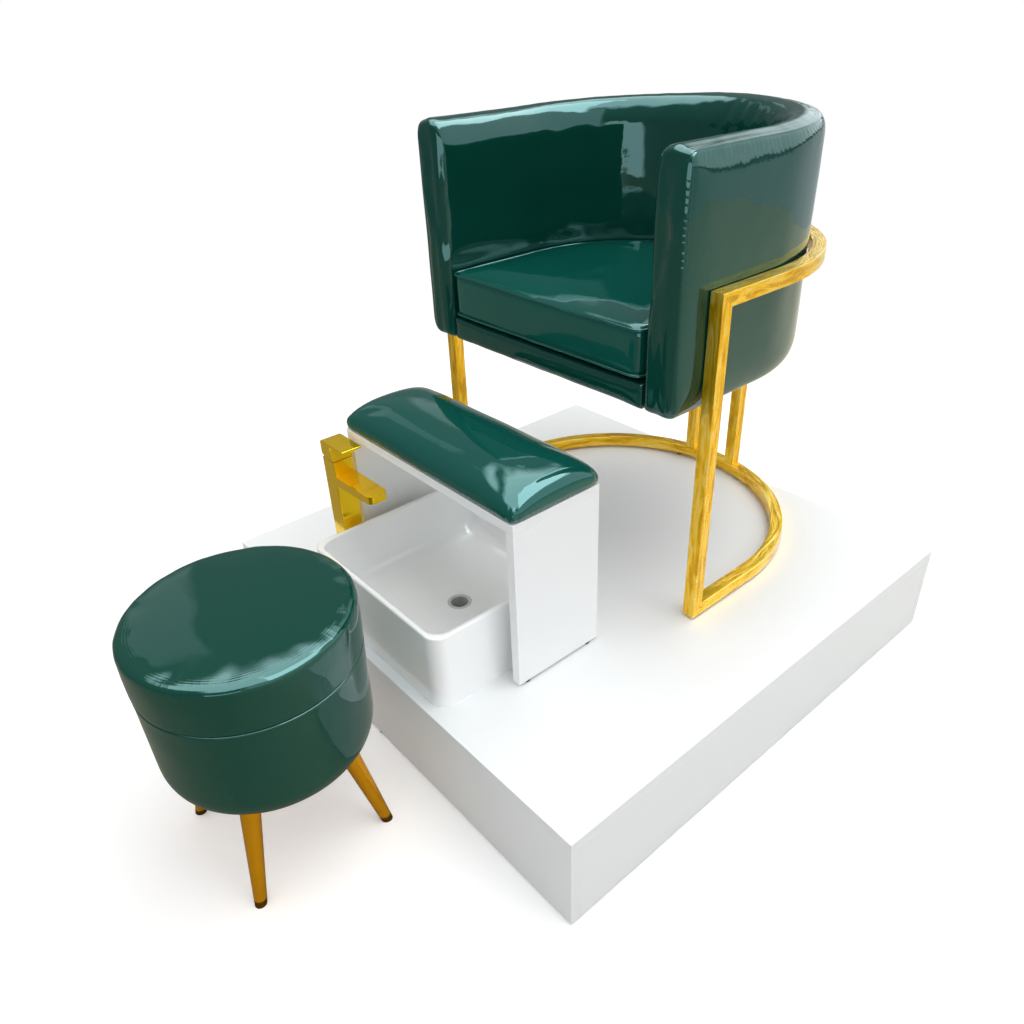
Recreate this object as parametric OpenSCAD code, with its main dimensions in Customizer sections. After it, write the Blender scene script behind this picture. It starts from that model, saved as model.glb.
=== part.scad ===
// Pedicure station: raised platform with a tub chair on a tube frame, a basin with a mixer tap,
// a padded footrest bridge over the basin and a round stool in front.
// Origin at the middle of the platform's underside on the floor, +X along the front edge,
// +Y towards the back of the chair, +Z up. All lengths are in millimetres.

/* [Platform] */
// Width of the platform along its front edge
platform_w = 1080; // [1020:10:1300]
// Depth of the platform from front to back
platform_d = 1070; // [1040:10:1300]
// Height of the deck above the floor
platform_h = 193; // [180:1:260]
// Thickness of the platform and footrest boards
board_t = 18; // [15:1:22]

/* [Basin] */
// Width of the basin
basin_w = 401; // [370:1:430]
// Depth of the basin from front to back
basin_d = 391; // [360:1:410]
// Height of the basin above the deck
basin_h = 151; // [120:1:170]
// Thickness of the basin's rim
basin_rim = 11; // [9:1:16]
// Thickness of the basin's floor at the waste
basin_floor = 20; // [16:1:30]
// Gap from the platform's front edge to the basin
basin_margin = 18.5; // [10:0.5:40]

/* [Footrest] */
// Depth of the footrest bridge
footrest_d = 192; // [150:1:200]
// Height of the footrest boards above the deck
footrest_h = 336; // [310:1:380]
// Gap between the basin and each footrest panel
footrest_gap = 29; // [20:1:45]
// Height of the footrest pad at its edge
footpad_edge_h = 34; // [25:1:50]
// Crown of the footrest pad above its edge
footpad_crown = 27; // [10:1:30]

/* [Tap] */
// Side of the square tap column
tap_side = 42; // [38:1:50]
// Height of the tap column above the deck
tap_h = 290; // [262:1:305]
// Reach of the spout from the middle of the column
spout_reach = 143; // [110:1:160]
// Height of the spout's underside above the deck
spout_z = 239; // [195:1:244]

/* [Chair frame] */
// Outer radius of the floor ring and of the top rail
frame_r = 368; // [330:1:380]
// Side of the square tube
tube_side = 25; // [20:1:30]
// Wall of the square tube
tube_wall = 1.5; // [1:0.1:3]
// Reach of the frame ahead of its round back
frame_reach = 181; // [150:1:220]
// Height of the rail's top above the deck
rail_h = 635; // [580:1:700]

/* [Tub] */
// Thickness of the padded wall
tub_wall = 77; // [60:1:90]
// Reach of the arms ahead of the round back
tub_reach = 243; // [226:1:260]
// Height of the arms above the deck
tub_arm_h = 848; // [800:1:900]
// Rise of the back above the arms
tub_back_rise = 9; // [0:1:40]
// Height of the cushion's underside above the deck
seat_h = 476; // [465:1:500]
// Depth of the seat box under the cushion
seat_box_h = 53; // [45:1:80]
// Thickness of the seat cushion at its edge
cushion_t = 94; // [80:1:110]

/* [Stool] */
// Height of the stool at its welt
stool_h = 456; // [400:1:520]
// Radius of the stool at its belly
stool_belly_r = 177; // [165:1:200]
// Height of the stool's underside above the floor
stool_low_h = 193; // [150:1:230]
// Radius of the circle that the stool's feet stand on
stool_foot_r = 170; // [150:1:190]

/* [Hidden] */

// Shared values
fine = 64;
// Steps of a quarter-round corner on the soft forms
corner_steps = 6;
// One overrun for every cut
cut = 2;
// Gap between a soft or lifted piece and its seat
seat_gap = 0.3;

// Platform: boards on glides, bearers with bored holes for the pipes
glide_h = 3;
glide_r = 15;
deck_z = platform_h;
panel_h = platform_h - board_t - glide_h;
bearer_t = 25;
bearer_shares = [-0.19, 0, 0.27];
block_side = 40;
pipe_room = 2;
inner_w = platform_w - 2 * board_t;
inner_d = platform_d - 2 * board_t;

// Basin with its waste
basin_corner_r = 28;
basin_inner_r = 22;
bowl_round_r = 34;
bowl_fall = 7;
bowl_corner_share = 0.2;
basin_x = 3;
basin_y = -platform_d / 2 + basin_margin + basin_d / 2;
waste_bore_r = 17;
waste_wall = 2.5;
waste_r = waste_bore_r + waste_wall;
waste_gap = 0.5;
waste_flange_r = 23.5;
waste_flange_t = 3;
seal_t = 4;
seal_r = 30;
nut_t = 9;
nut_r = 29;
basin_foot_z = deck_z;
bowl_floor_z = deck_z + basin_floor;

// Bottle trap, waste pipe and outlet socket
trap_r = 30;
trap_wall = 3;
trap_neck_r = 24;
trap_neck_h = 26;
trap_body_h = 84;
trap_drop = 39;
trap_top_z = deck_z - trap_drop;
trap_high = trap_top_z - trap_neck_h;
trap_low = trap_high - trap_body_h;
waste_end_z = trap_top_z - trap_neck_h / 2;
cup_h = 22;
cup_rim = 2;
pipe_r = 20;
pipe_wall = 2.2;
pipe_drop = 100;
pipe_z = deck_z - pipe_drop;
pipe_fit = 0.1;
socket_fit = 0.3;
socket_wall = 4;
socket_l = 60;
socket_mouth_l = 40;
socket_stop_t = 3;

// Tap
tap_gap = 17;
tap_panel_gap = 12;
tap_x = basin_x - basin_w / 2 - tap_gap - tap_side / 2;
gasket_t = 1.5;
gasket_inset = 1;
tap_round_r = 2;
deck_hole_r = 17.5;
cartridge_r = 17;
cartridge_h = 28;
cartridge_fit = 0.1;
cartridge_low = 41;
turret_r = 12;
turret_h = 10;
turret_lift = 0.3;
ring_fit = 0.1;
ring_h = 9;
slot_half_l = 6.4;
slot_half_w = 4.4;
stem_side = 8;
stem_low = 8;
stem_high = 22;
stem_fit = 0.2;
stem_well = 14;
stem_well_r = 9.5;
spout_root_t = 20;
spout_tip_t = 15;
spout_tip_rise = 3;
spout_tip_z = spout_z + spout_root_t + spout_tip_rise;
spout_round_r = 14;
aerator_r = 9;
aerator_h = 7;
aerator_back = 18;
handle_gap = 1.2;
handle_relief = 6;
handle_relief_share = 0.6;
handle_block_h = 30;
handle_top_h = 37;
handle_reach = 62;
handle_tip_t = 4;
handle_lean = 8;
handle_round_l = 13;
handle_round_h = 5;
stud_r = 4;
stud_l = 52;
stud_y = -9;
tail_r = 5;
tail_wall = 1;
tail_x = 9;
tail_y = 6;
tail_low_z = 50;
tail_step_z = 30;
tail_fit = 0.1;
tail_bend_r = 25;
clamp_washer_r = 24;
clamp_washer_t = 3;
clamp_slot = 1.5;
clamp_nut_r = 8;
clamp_nut_h = 7;
coupling_r = 12;
coupling_l = 40;
coupling_bore_r = 7.6;
coupling_bore_l = 20;

// Footrest bridge
footrest_w = basin_w + 2 * (footrest_gap + board_t);
footrest_x = basin_x;
footrest_back = 37.5;
footrest_y = basin_y + footrest_back;
foot_h = 5;
foot_r = 8;
foot_inset = 22;
footpad_over = 6.5;
footpad_corner_r = 26;
// Inset as a share of the pad's half depth, and height as a share of the full height
footpad_profile_shares = [[0.06, 0], [0.01, 0.1], [0, 0.3], [0, 0.5], [0.05, 0.66], [0.14, 0.78],
    [0.28, 0.88], [0.48, 0.95], [0.72, 0.99], [0.88, 1]];
tap_y = footrest_y - footrest_d / 2 - tap_panel_gap - tap_side / 2;

// Chair frame
chair_x = -28;
chair_margin = 2;
chair_y = platform_d / 2 - chair_margin - frame_r;
pad_h = 5;
pad_r = 9;
ring_z = deck_z + pad_h;
rail_top_z = deck_z + rail_h;
rail_low_z = rail_top_z - tube_side;
frame_mid_r = frame_r - tube_side / 2;
rear_post_x = 60.5;
rear_post_y = sqrt(frame_mid_r * frame_mid_r - rear_post_x * rear_post_x);
ring_pad_x = 94;
ring_pad_y = sqrt(frame_mid_r * frame_mid_r - ring_pad_x * ring_pad_x);
spacer_r = 9;
spacer_angles = [25, 65, 115, 155];
spacer_front_share = 0.4;

// Tub shell
tub_gap = 4;
tub_r = frame_r - tube_side - tub_gap;
tub_inner_r = tub_r - tub_wall;
tub_mid_r = tub_r - tub_wall / 2;
tub_low_z = deck_z + seat_h - seat_box_h;
tub_arm_z = deck_z + tub_arm_h;
tub_low_round = 24;
tub_low_rise = 40;
tub_inner_round = 10;
tub_top_round = 24;
tub_top_drop = 34;
tub_inner_top_share = 0.75;
tub_top_crown = 4;
tub_end_round = 14;
tub_arc_steps = 24;

// Seat
seat_z = deck_z + seat_h;
seat_side_gap = 4;
seat_half_w = tub_inner_r - seat_side_gap;
seat_front_r = 18;
cushion_crown = 9;
welt_r = 4.5;
welt_in = 6.75;
groove = 3.5;
cushion_base_inset = 12;
// Inset as a share of the cushion's half width, and rise as a share of the crown
crown_shares = [[0.2, 0.45], [0.42, 0.78], [0.66, 0.96], [0.86, 1]];
cushion_back_steps = 30;
rail_depth = 46;
rail_recess = 5;
rail_slot = 5;
rail_round = 9;
deck_t = 15;
wood_fit = 1.5;
frame_ring_w = 40;
cover_t = 3;
front_low_lift = 0.5;
front_low_z = tub_low_z + front_low_lift;

// Stool
stool_gap = 45;
stool_x = 58;
stool_y = -platform_d / 2 - stool_gap - stool_belly_r;
stool_top_taper = 5;
stool_foot_taper = 4;
stool_top_r = stool_belly_r - stool_top_taper;
stool_bottom_r = stool_belly_r - stool_foot_taper;
stool_crown = 10;
crown_steps = 5;
// Shares of the taper and of the height at points down the stool's side
pad_side_share = [0.35, 0.45];
drum_side_shares = [[0.45, 0.45], [0.85, 0.8]];
stool_welt_r = 4;
stool_seam_drop = 76;
stool_low_round = 31;
stool_low_rise = 44;
stool_board_t = 15;
stool_board_r = 138;
leg_plate_r = 26;
leg_plate_t = 3;
leg_top_r = 17;
leg_foot_r = 10;
leg_top_place_r = 116;
leg_tip_h = 12;
leg_angles = [-45, 45, 135, 225];

// Colours as the photograph shows them
patent_green = [0.09, 0.3, 0.26];
gold = [0.86, 0.64, 0.12];
white_board = [0.95, 0.95, 0.96];
ceramic_white = [0.97, 0.97, 0.98];
black_rubber = [0.06, 0.06, 0.06];
chrome_grey = [0.75, 0.76, 0.78];
plain_wood = [0.78, 0.64, 0.45];
plastic_white = [0.9, 0.9, 0.9];
copper_tone = [0.72, 0.45, 0.3];

// Points along an arc, from angle a0 to a1 in n steps
function arc_points(cx, cy, rx, ry, a0, a1, n) =
    [for (i = [0:n]) let (a = a0 + (a1 - a0) * i / n) [cx + rx * cos(a), cy + ry * sin(a)]];

// Plan of a rounded rectangle, counter-clockwise
function rect_plan(hx, hy, r, n) = concat(
    arc_points(hx - r, hy - r, r, r, 0, 90, n),
    arc_points(r - hx, hy - r, r, r, 90, 180, n),
    arc_points(r - hx, r - hy, r, r, 180, 270, n),
    arc_points(hx - r, r - hy, r, r, 270, 360, n));

// Plan with a straight front and a half-round back, counter-clockwise
function tub_plan(half, reach, r, n_corner, n_back) = concat(
    arc_points(r - half, r - reach, r, r, 180, 270, n_corner),
    arc_points(half - r, r - reach, r, r, 270, 360, n_corner),
    arc_points(0, 0, half, half, 0, 180, n_back));

function at_height(plan, z) = [for (p = plan) [p[0], p[1], z]];

// Closed skin through equal rings that run counter-clockwise and climb
// Each ring's first point starts the fans that close the two ends
module skin(rings) {
    n = len(rings[0]);
    last = len(rings) - 1;
    points = [for (ring = rings) each ring];
    sides = [for (i = [0:last - 1], j = [0:n - 1])
        let (a = i * n + j, b = i * n + (j + 1) % n)
        each [[a, a + n, b + n], [a, b + n, b]]];
    low_cap = [for (j = [1:n - 2]) [0, j, j + 1]];
    high_cap = [for (j = [1:n - 2]) [last * n, last * n + j + 1, last * n + j]];
    polyhedron(points = points, faces = concat(sides, low_cap, high_cap));
}

// Board with square edges, middle of its underside at the given point
module board(w, d, t) {
    translate([-w / 2, -d / 2, 0])
        cube([w, d, t]);
}

// Plan of a square with round corners, drawn with true arcs
module round_square(w, d, r) {
    square([w - 2 * r, d], center = true);
    square([w, d - 2 * r], center = true);
    for (sx = [-1, 1], sy = [-1, 1])
        translate([sx * (w / 2 - r), sy * (d / 2 - r)])
            circle(r, $fn = fine);
}

// Cylinder along +Y from the given point
module rod_y(r, l) {
    rotate([-90, 0, 0])
        cylinder(r = r, h = l, $fn = fine);
}

// Height of a tail's run above the floor: the hot one lies above the cold one
function tail_height(side) = (side > 0) ? tail_low_z : tail_low_z + tail_step_z;

// Platform

// Deck with the holes for the waste and for the tap's fixings
module deck_board() {
    color(white_board)
        difference() {
            translate([0, 0, deck_z - board_t])
                board(platform_w, platform_d, board_t);
            translate([basin_x, basin_y, deck_z - board_t - cut])
                cylinder(r = waste_r + waste_gap, h = board_t + 2 * cut, $fn = fine);
            translate([tap_x, tap_y, deck_z - board_t - cut])
                cylinder(r = deck_hole_r, h = board_t + 2 * cut, $fn = fine);
        }
}

module front_panel() {
    color(white_board)
        translate([0, (board_t - platform_d) / 2, glide_h])
            board(platform_w, board_t, panel_h);
}

// Back panel with holes for the outlet socket and the two inlet couplings
module back_panel() {
    color(white_board)
        difference() {
            translate([0, (platform_d - board_t) / 2, glide_h])
                board(platform_w, board_t, panel_h);
            translate([basin_x, platform_d / 2 - board_t - cut, pipe_z])
                rod_y(pipe_r + socket_fit + socket_wall, board_t + 2 * cut);
            for (side = [-1, 1])
                translate([tap_x + side * tail_x, platform_d / 2 - board_t - cut, tail_height(side)])
                    rod_y(coupling_r, board_t + 2 * cut);
        }
}

module side_panel(side) {
    translate([side * (platform_w - board_t) / 2, 0, glide_h])
        board(board_t, inner_d, panel_h);
}

module left_panel() {
    color(white_board) side_panel(-1);
}

module right_panel() {
    color(white_board) side_panel(1);
}

// Bearers across the platform, bored where the pipes pass
module cross_bearers() {
    color(plain_wood)
        difference() {
            for (share = bearer_shares)
                translate([0, share * platform_d, glide_h])
                    board(inner_w, bearer_t, panel_h);
            translate([basin_x, -inner_d / 2, pipe_z])
                rod_y(pipe_r + pipe_room, inner_d);
            for (side = [-1, 1])
                translate([tap_x + side * tail_x, -inner_d / 2, tail_height(side)])
                    rod_y(tail_r + pipe_room, inner_d);
        }
}

module corner_blocks() {
    color(plain_wood)
        for (sx = [-1, 1], sy = [-1, 1])
            translate([sx * (inner_w - block_side) / 2, sy * (inner_d - block_side) / 2, glide_h])
                board(block_side, block_side, panel_h);
}

// Glides under the corners, the middles of the edges and the middle bearer
module platform_glides() {
    color(black_rubber)
        for (sx = [-1, 0, 1], sy = [-1, 0, 1])
            translate([sx * (platform_w / 2 - board_t - glide_r),
                    (sy == 0) ? 0 : sy * (platform_d / 2 - board_t / 2 - (sx == 0 ? 0 : glide_r)), 0])
                cylinder(r = (sx == 0 && sy != 0) ? board_t / 2 : glide_r, h = glide_h, $fn = fine);
}

// Basin and waste

// Half sizes of the bowl's opening
bowl_hx = basin_w / 2 - basin_rim;
bowl_hy = basin_d / 2 - basin_rim;
bowl_steps = 5;
bowl_corner_steps = 7;

function bowl_ring(inset, r, z) =
    at_height(rect_plan(bowl_hx - inset, bowl_hy - inset, r, bowl_corner_steps), z);

// Bowl cavity: straight walls, a rounded foot and a floor that falls to the waste
module bowl() {
    rise_z = bowl_floor_z + bowl_fall;
    floor_ring_pts = at_height(rect_plan(waste_flange_r * 2, waste_flange_r * 2,
        waste_flange_r * 2 - waste_gap, bowl_corner_steps), bowl_floor_z);
    corner_rise = bowl_round_r * bowl_corner_share;
    foot = [for (i = [0:bowl_steps]) let (a = 90 * i / bowl_steps)
        bowl_ring(bowl_round_r * (1 - sin(a)), basin_inner_r + corner_rise * sin(a),
            rise_z + bowl_round_r * (1 - cos(a)))];
    skin(concat([floor_ring_pts], foot,
        [bowl_ring(0, basin_inner_r + corner_rise, deck_z + basin_h + cut)]));
}

module basin() {
    color(ceramic_white)
        difference() {
            translate([basin_x, basin_y, basin_foot_z])
                linear_extrude(basin_h)
                    round_square(basin_w, basin_d, basin_corner_r);
            translate([basin_x, basin_y, 0])
                bowl();
            translate([basin_x, basin_y, bowl_floor_z - waste_flange_t])
                cylinder(r = waste_flange_r + waste_gap, h = waste_flange_t + cut, $fn = fine);
            translate([basin_x, basin_y, basin_foot_z - cut])
                cylinder(r = waste_r + waste_gap, h = basin_floor, $fn = fine);
        }
}

// Flanged waste with its threaded tail
module waste_body() {
    color(chrome_grey)
        translate([basin_x, basin_y, 0])
            difference() {
                union() {
                    translate([0, 0, bowl_floor_z - waste_flange_t])
                        cylinder(r = waste_flange_r, h = waste_flange_t, $fn = fine);
                    translate([0, 0, waste_end_z])
                        cylinder(r = waste_r, h = bowl_floor_z - waste_flange_t - waste_end_z, $fn = fine);
                }
                translate([0, 0, waste_end_z - cut])
                    cylinder(r = waste_bore_r, h = bowl_floor_z - waste_end_z + 2 * cut, $fn = fine);
            }
}

// Flat ring on the waste's axis
module waste_ring(r, bore_r, z, h) {
    translate([basin_x, basin_y, z])
        difference() {
            cylinder(r = r, h = h, $fn = fine);
            translate([0, 0, -cut])
                cylinder(r = bore_r, h = h + 2 * cut, $fn = fine);
        }
}

module waste_seal() {
    color(black_rubber)
        waste_ring(seal_r, waste_r + waste_gap, deck_z - board_t - seal_t, seal_t);
}

module waste_nut() {
    color(plastic_white)
        translate([basin_x, basin_y, deck_z - board_t - seal_t - nut_t])
            difference() {
                cylinder(r = nut_r, h = nut_t, $fn = 6);
                translate([0, 0, -cut])
                    cylinder(r = waste_r + waste_gap, h = nut_t + 2 * cut, $fn = fine);
            }
}

// Trap body: neck over the waste's tail, open chamber and side outlet
module bottle_trap() {
    color(plastic_white)
        difference() {
            translate([basin_x, basin_y, 0])
                rotate_extrude($fn = fine)
                    polygon([[trap_r - trap_wall, trap_low], [trap_r, trap_low],
                        [trap_r, trap_high], [trap_neck_r, trap_high + trap_r - trap_neck_r],
                        [trap_neck_r, trap_top_z], [waste_r + waste_gap, trap_top_z],
                        [waste_r + waste_gap, trap_high], [trap_r - trap_wall, trap_high - trap_wall]]);
            translate([basin_x, basin_y, pipe_z])
                rod_y(pipe_r - pipe_wall, trap_r + cut);
        }
}

// Cup that closes the trap from below
module trap_cup() {
    color(plastic_white)
        translate([basin_x, basin_y, trap_low - cup_h])
            rotate_extrude($fn = fine)
                polygon([[0, 0], [trap_r - cup_rim, 0], [trap_r + cup_rim, cup_rim * 2],
                    [trap_r + cup_rim, cup_h], [trap_r - trap_wall, cup_h],
                    [trap_r - trap_wall, trap_wall], [0, trap_wall]]);
}

// Straight pipe from the trap to the socket in the back panel
module waste_pipe() {
    start_y = basin_y + sqrt(trap_r * trap_r - pipe_r * pipe_r);
    end_y = platform_d / 2 - socket_mouth_l - socket_stop_t;
    color(plastic_white)
        difference() {
            translate([basin_x, start_y, pipe_z])
                rod_y(pipe_r, end_y - start_y);
            translate([basin_x, start_y - cut, pipe_z])
                rod_y(pipe_r - pipe_wall, end_y - start_y + 2 * cut);
            translate([basin_x, basin_y, pipe_z - pipe_r - cut])
                cylinder(r = trap_r + seat_gap, h = 2 * (pipe_r + cut), $fn = fine);
        }
}

module waste_socket() {
    color(plastic_white)
        translate([basin_x, platform_d / 2 - socket_l, pipe_z])
            difference() {
                rod_y(pipe_r + socket_fit + socket_wall, socket_l);
                translate([0, -cut, 0])
                    rod_y(pipe_r + pipe_fit, socket_l - socket_mouth_l - socket_stop_t + cut);
                rod_y(pipe_r - pipe_wall, socket_l);
                translate([0, socket_l - socket_mouth_l, 0])
                    rod_y(pipe_r + socket_fit, socket_mouth_l + cut);
            }
}

// Tap

module tap_gasket() {
    side = tap_side - 2 * gasket_inset;
    color(black_rubber)
        translate([tap_x, tap_y, deck_z])
            difference() {
                linear_extrude(gasket_t)
                    round_square(side, side, tap_round_r);
                translate([0, 0, -cut])
                    cylinder(r = deck_hole_r, h = gasket_t + 2 * cut, $fn = fine);
            }
}

// Spout: tapered side outline, with its tip rounded in plan
module spout() {
    intersection() {
        translate([0, tap_side / 2, 0])
            rotate([90, 0, 0])
                linear_extrude(tap_side)
                    polygon([[0, spout_z], [spout_reach, spout_tip_z - spout_tip_t],
                        [spout_reach, spout_tip_z], [0, spout_z + spout_root_t]]);
        translate([spout_reach / 2, 0, spout_z - cut])
            linear_extrude(spout_root_t + spout_tip_rise + 2 * cut)
                union() {
                    round_square(spout_reach, tap_side, spout_round_r);
                    translate([-spout_reach / 2, -tap_side / 2])
                        square([spout_reach / 2, tap_side]);
                }
    }
}

// Column and spout in one casting, bored for the cartridge and for the aerator
module tap_body() {
    color(gold)
        translate([tap_x, tap_y, deck_z])
            difference() {
                union() {
                    translate([0, 0, gasket_t])
                        linear_extrude(tap_h - gasket_t)
                            round_square(tap_side, tap_side, tap_round_r);
                    spout();
                }
                translate([0, 0, tap_h - cartridge_low])
                    cylinder(r = cartridge_r + cartridge_fit, h = cartridge_low + cut, $fn = fine);
                translate([spout_reach - aerator_back, 0, spout_z - cut])
                    cylinder(r = aerator_r, h = aerator_h + cut + spout_tip_rise, $fn = fine);
            }
}

module tap_aerator() {
    color(chrome_grey)
        translate([tap_x + spout_reach - aerator_back, tap_y, deck_z + spout_z])
            translate([0, 0, spout_tip_rise - seat_gap])
                cylinder(r = aerator_r - cartridge_fit, h = aerator_h, $fn = fine);
}

// Cartridge in the column, with a well for the turret and the lever's stem
module tap_cartridge() {
    color(plastic_white)
        translate([tap_x, tap_y, deck_z + tap_h - cartridge_low])
            difference() {
                cylinder(r = cartridge_r, h = cartridge_h, $fn = fine);
                translate([0, 0, cartridge_h - stem_well])
                    cylinder(r = stem_well_r, h = stem_well + cut, $fn = fine);
            }
}

module tap_retaining_ring() {
    color(copper_tone)
        translate([tap_x, tap_y, deck_z + tap_h - cartridge_low + cartridge_h])
            difference() {
                cylinder(r = cartridge_r, h = ring_h, $fn = fine);
                translate([0, 0, -cut])
                    cylinder(r = turret_r + ring_fit, h = ring_h + 2 * cut, $fn = fine);
            }
}

// Turret that turns with the handle, slotted so that the stem can tilt in it
module tap_turret() {
    color(plastic_white)
        translate([tap_x, tap_y, deck_z + tap_h - cartridge_low + cartridge_h + turret_lift])
            difference() {
                cylinder(r = turret_r, h = turret_h, $fn = fine);
                translate([-slot_half_l, -slot_half_w, -cut])
                    cube([2 * slot_half_l, 2 * slot_half_w, turret_h + 2 * cut]);
            }
}

pivot_z = deck_z + tap_h - cartridge_low + cartridge_h + turret_lift + turret_h / 2;

module tap_stem() {
    color(chrome_grey)
        translate([tap_x - stem_side / 2, tap_y - stem_side / 2, pivot_z - stem_low])
            cube([stem_side, stem_side, stem_low + stem_high]);
}

// Handle: block with a leaning front, flat lever plate and a relief behind for the tilt
module tap_handle() {
    half = tap_side / 2;
    color(gold)
        difference() {
            translate([tap_x, tap_y + half, deck_z + tap_h])
                rotate([90, 0, 0])
                    linear_extrude(tap_side)
                        polygon(concat(
                            [[-half, handle_gap + handle_relief],
                            [-half + handle_relief, handle_gap + handle_relief * handle_relief_share],
                            [0, handle_gap], [half, handle_gap],
                            [half - handle_lean, handle_block_h],
                            [handle_reach, handle_top_h - handle_tip_t],
                            [handle_reach, handle_top_h]],
                            arc_points(handle_round_l - half, handle_top_h - handle_round_h,
                                handle_round_l, handle_round_h, 90, 180, 6)));
            translate([tap_x - stem_side / 2 - stem_fit, tap_y - stem_side / 2 - stem_fit, deck_z + tap_h])
                cube([stem_side + 2 * stem_fit, stem_side + 2 * stem_fit,
                    pivot_z + stem_high + stem_fit - deck_z - tap_h]);
        }
}

module tap_stud() {
    color(chrome_grey)
        translate([tap_x, tap_y + stud_y, deck_z + gasket_t - stud_l])
            cylinder(r = stud_r, h = stud_l, $fn = fine);
}

// Horseshoe washer under the deck, open where the tails pass
module tap_clamp_washer() {
    slot_w = 2 * (tail_x + tail_r + clamp_slot);
    color(chrome_grey)
        translate([tap_x, tap_y, deck_z - board_t - clamp_washer_t])
            difference() {
                cylinder(r = clamp_washer_r, h = clamp_washer_t, $fn = fine);
                translate([0, stud_y, -cut])
                    cylinder(r = stud_r + seat_gap, h = clamp_washer_t + 2 * cut, $fn = fine);
                translate([-slot_w / 2, tail_y - tail_r - clamp_slot, -cut])
                    cube([slot_w, clamp_washer_r + tail_r, clamp_washer_t + 2 * cut]);
            }
}

module tap_clamp_nut() {
    color(chrome_grey)
        translate([tap_x, tap_y + stud_y, deck_z - board_t - clamp_washer_t - clamp_nut_h])
            difference() {
                cylinder(r = clamp_nut_r, h = clamp_nut_h, $fn = 6);
                translate([0, 0, -cut])
                    cylinder(r = stud_r + seat_gap, h = clamp_nut_h + 2 * cut, $fn = fine);
            }
}

// Solid along a tail's route: down from the tap's base, a bend, then back to its coupling
module tail_route(r, side, overrun) {
    top_z = deck_z + gasket_t;
    bend_z = tail_height(side) + tail_bend_r;
    start_y = tap_y + tail_y;
    end_y = platform_d / 2 - coupling_bore_l;
    translate([tap_x + side * tail_x, start_y, bend_z])
        cylinder(r = r, h = top_z - bend_z + overrun, $fn = fine);
    translate([tap_x + side * tail_x, start_y + tail_bend_r, bend_z])
        rotate([90, 0, 90])
            rotate([0, 0, 180])
                rotate_extrude(angle = 90, $fn = fine)
                    translate([tail_bend_r, 0])
                        circle(r, $fn = fine);
    translate([tap_x + side * tail_x, start_y + tail_bend_r, tail_height(side)])
        rod_y(r, end_y - start_y - tail_bend_r + overrun);
}

module tail(side) {
    difference() {
        tail_route(tail_r, side, 0);
        tail_route(tail_r - tail_wall, side, cut);
    }
}

module cold_tail() {
    color(copper_tone) tail(1);
}

module hot_tail() {
    color(copper_tone) tail(-1);
}

// Push-fit coupling, flush with the back panel's face
module coupling(side) {
    translate([tap_x + side * tail_x, platform_d / 2 - coupling_l, tail_height(side)])
        difference() {
            rod_y(coupling_r, coupling_l);
            translate([0, coupling_l - coupling_bore_l, 0])
                rod_y(coupling_bore_r, coupling_bore_l + cut);
            translate([0, -cut, 0])
                rod_y(tail_r + tail_fit, coupling_l);
        }
}

module cold_coupling() {
    color(chrome_grey) coupling(1);
}

module hot_coupling() {
    color(chrome_grey) coupling(-1);
}

// Footrest bridge

module footrest_panel(side) {
    translate([footrest_x + side * (footrest_w - board_t) / 2, footrest_y, deck_z + foot_h])
        board(board_t, footrest_d, footrest_h - board_t - foot_h);
}

module footrest_left_panel() {
    color(white_board) footrest_panel(-1);
}

module footrest_right_panel() {
    color(white_board) footrest_panel(1);
}

module footrest_board() {
    color(white_board)
        translate([footrest_x, footrest_y, deck_z + footrest_h - board_t])
            board(footrest_w, footrest_d, board_t);
}

module footrest_feet() {
    color(black_rubber)
        for (sx = [-1, 1], sy = [-1, 1])
            translate([footrest_x + sx * (footrest_w - board_t) / 2,
                    footrest_y + sy * (footrest_d / 2 - foot_inset), deck_z])
                cylinder(r = foot_r, h = foot_h, $fn = fine);
}

// Footrest pad: flat base, sides drawn in at the base and a domed top
module footrest_pad() {
    hx = footrest_w / 2 + footpad_over;
    hy = footrest_d / 2 + footpad_over;
    base_z = deck_z + footrest_h;
    full_h = footpad_edge_h + footpad_crown;
    color(patent_green)
        translate([footrest_x, footrest_y, 0])
            skin([for (p = footpad_profile_shares)
                at_height(rect_plan(hx - p[0] * hy, hy - p[0] * hy,
                    footpad_corner_r * (1 - p[0]), corner_steps), base_z + p[1] * full_h)]);
}

// Chair frame

// Square tube profile at the given radius, its underside at zero
module tube_profile(mid_r) {
    difference() {
        translate([mid_r - tube_side / 2, 0])
            square(tube_side);
        translate([mid_r - tube_side / 2 + tube_wall, tube_wall])
            square(tube_side - 2 * tube_wall);
    }
}

// Side outline of a straight tube whose front end is mitred, the mitre falling back upwards
// or downwards
module mitred_side(inset, up) {
    low = inset;
    high = tube_side - inset;
    front_low = up ? -frame_reach + inset : -frame_reach + tube_side - inset;
    front_high = up ? -frame_reach + tube_side - inset : -frame_reach + inset;
    polygon([[front_low, low], [0, low], [0, high], [front_high, high]]);
}

// Straight leg of the ring or rail along Y, at the given side
module straight_leg(side, up) {
    translate([side * frame_mid_r - tube_side / 2, 0, 0])
        rotate([90, 0, 90])
            difference() {
                linear_extrude(tube_side)
                    mitred_side(0, up);
                translate([0, 0, tube_wall])
                    linear_extrude(tube_side - 2 * tube_wall)
                        mitred_side(tube_wall, up);
            }
}

// Ring or rail: half-round back and two straight legs
module frame_hoop(up) {
    rotate_extrude(angle = 180, $fn = 2 * fine)
        tube_profile(frame_mid_r);
    for (side = [-1, 1])
        straight_leg(side, up);
}

module floor_ring() {
    color(gold)
        translate([chair_x, chair_y, ring_z])
            frame_hoop(true);
}

module top_rail() {
    color(gold)
        translate([chair_x, chair_y, rail_low_z])
            frame_hoop(false);
}

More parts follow.
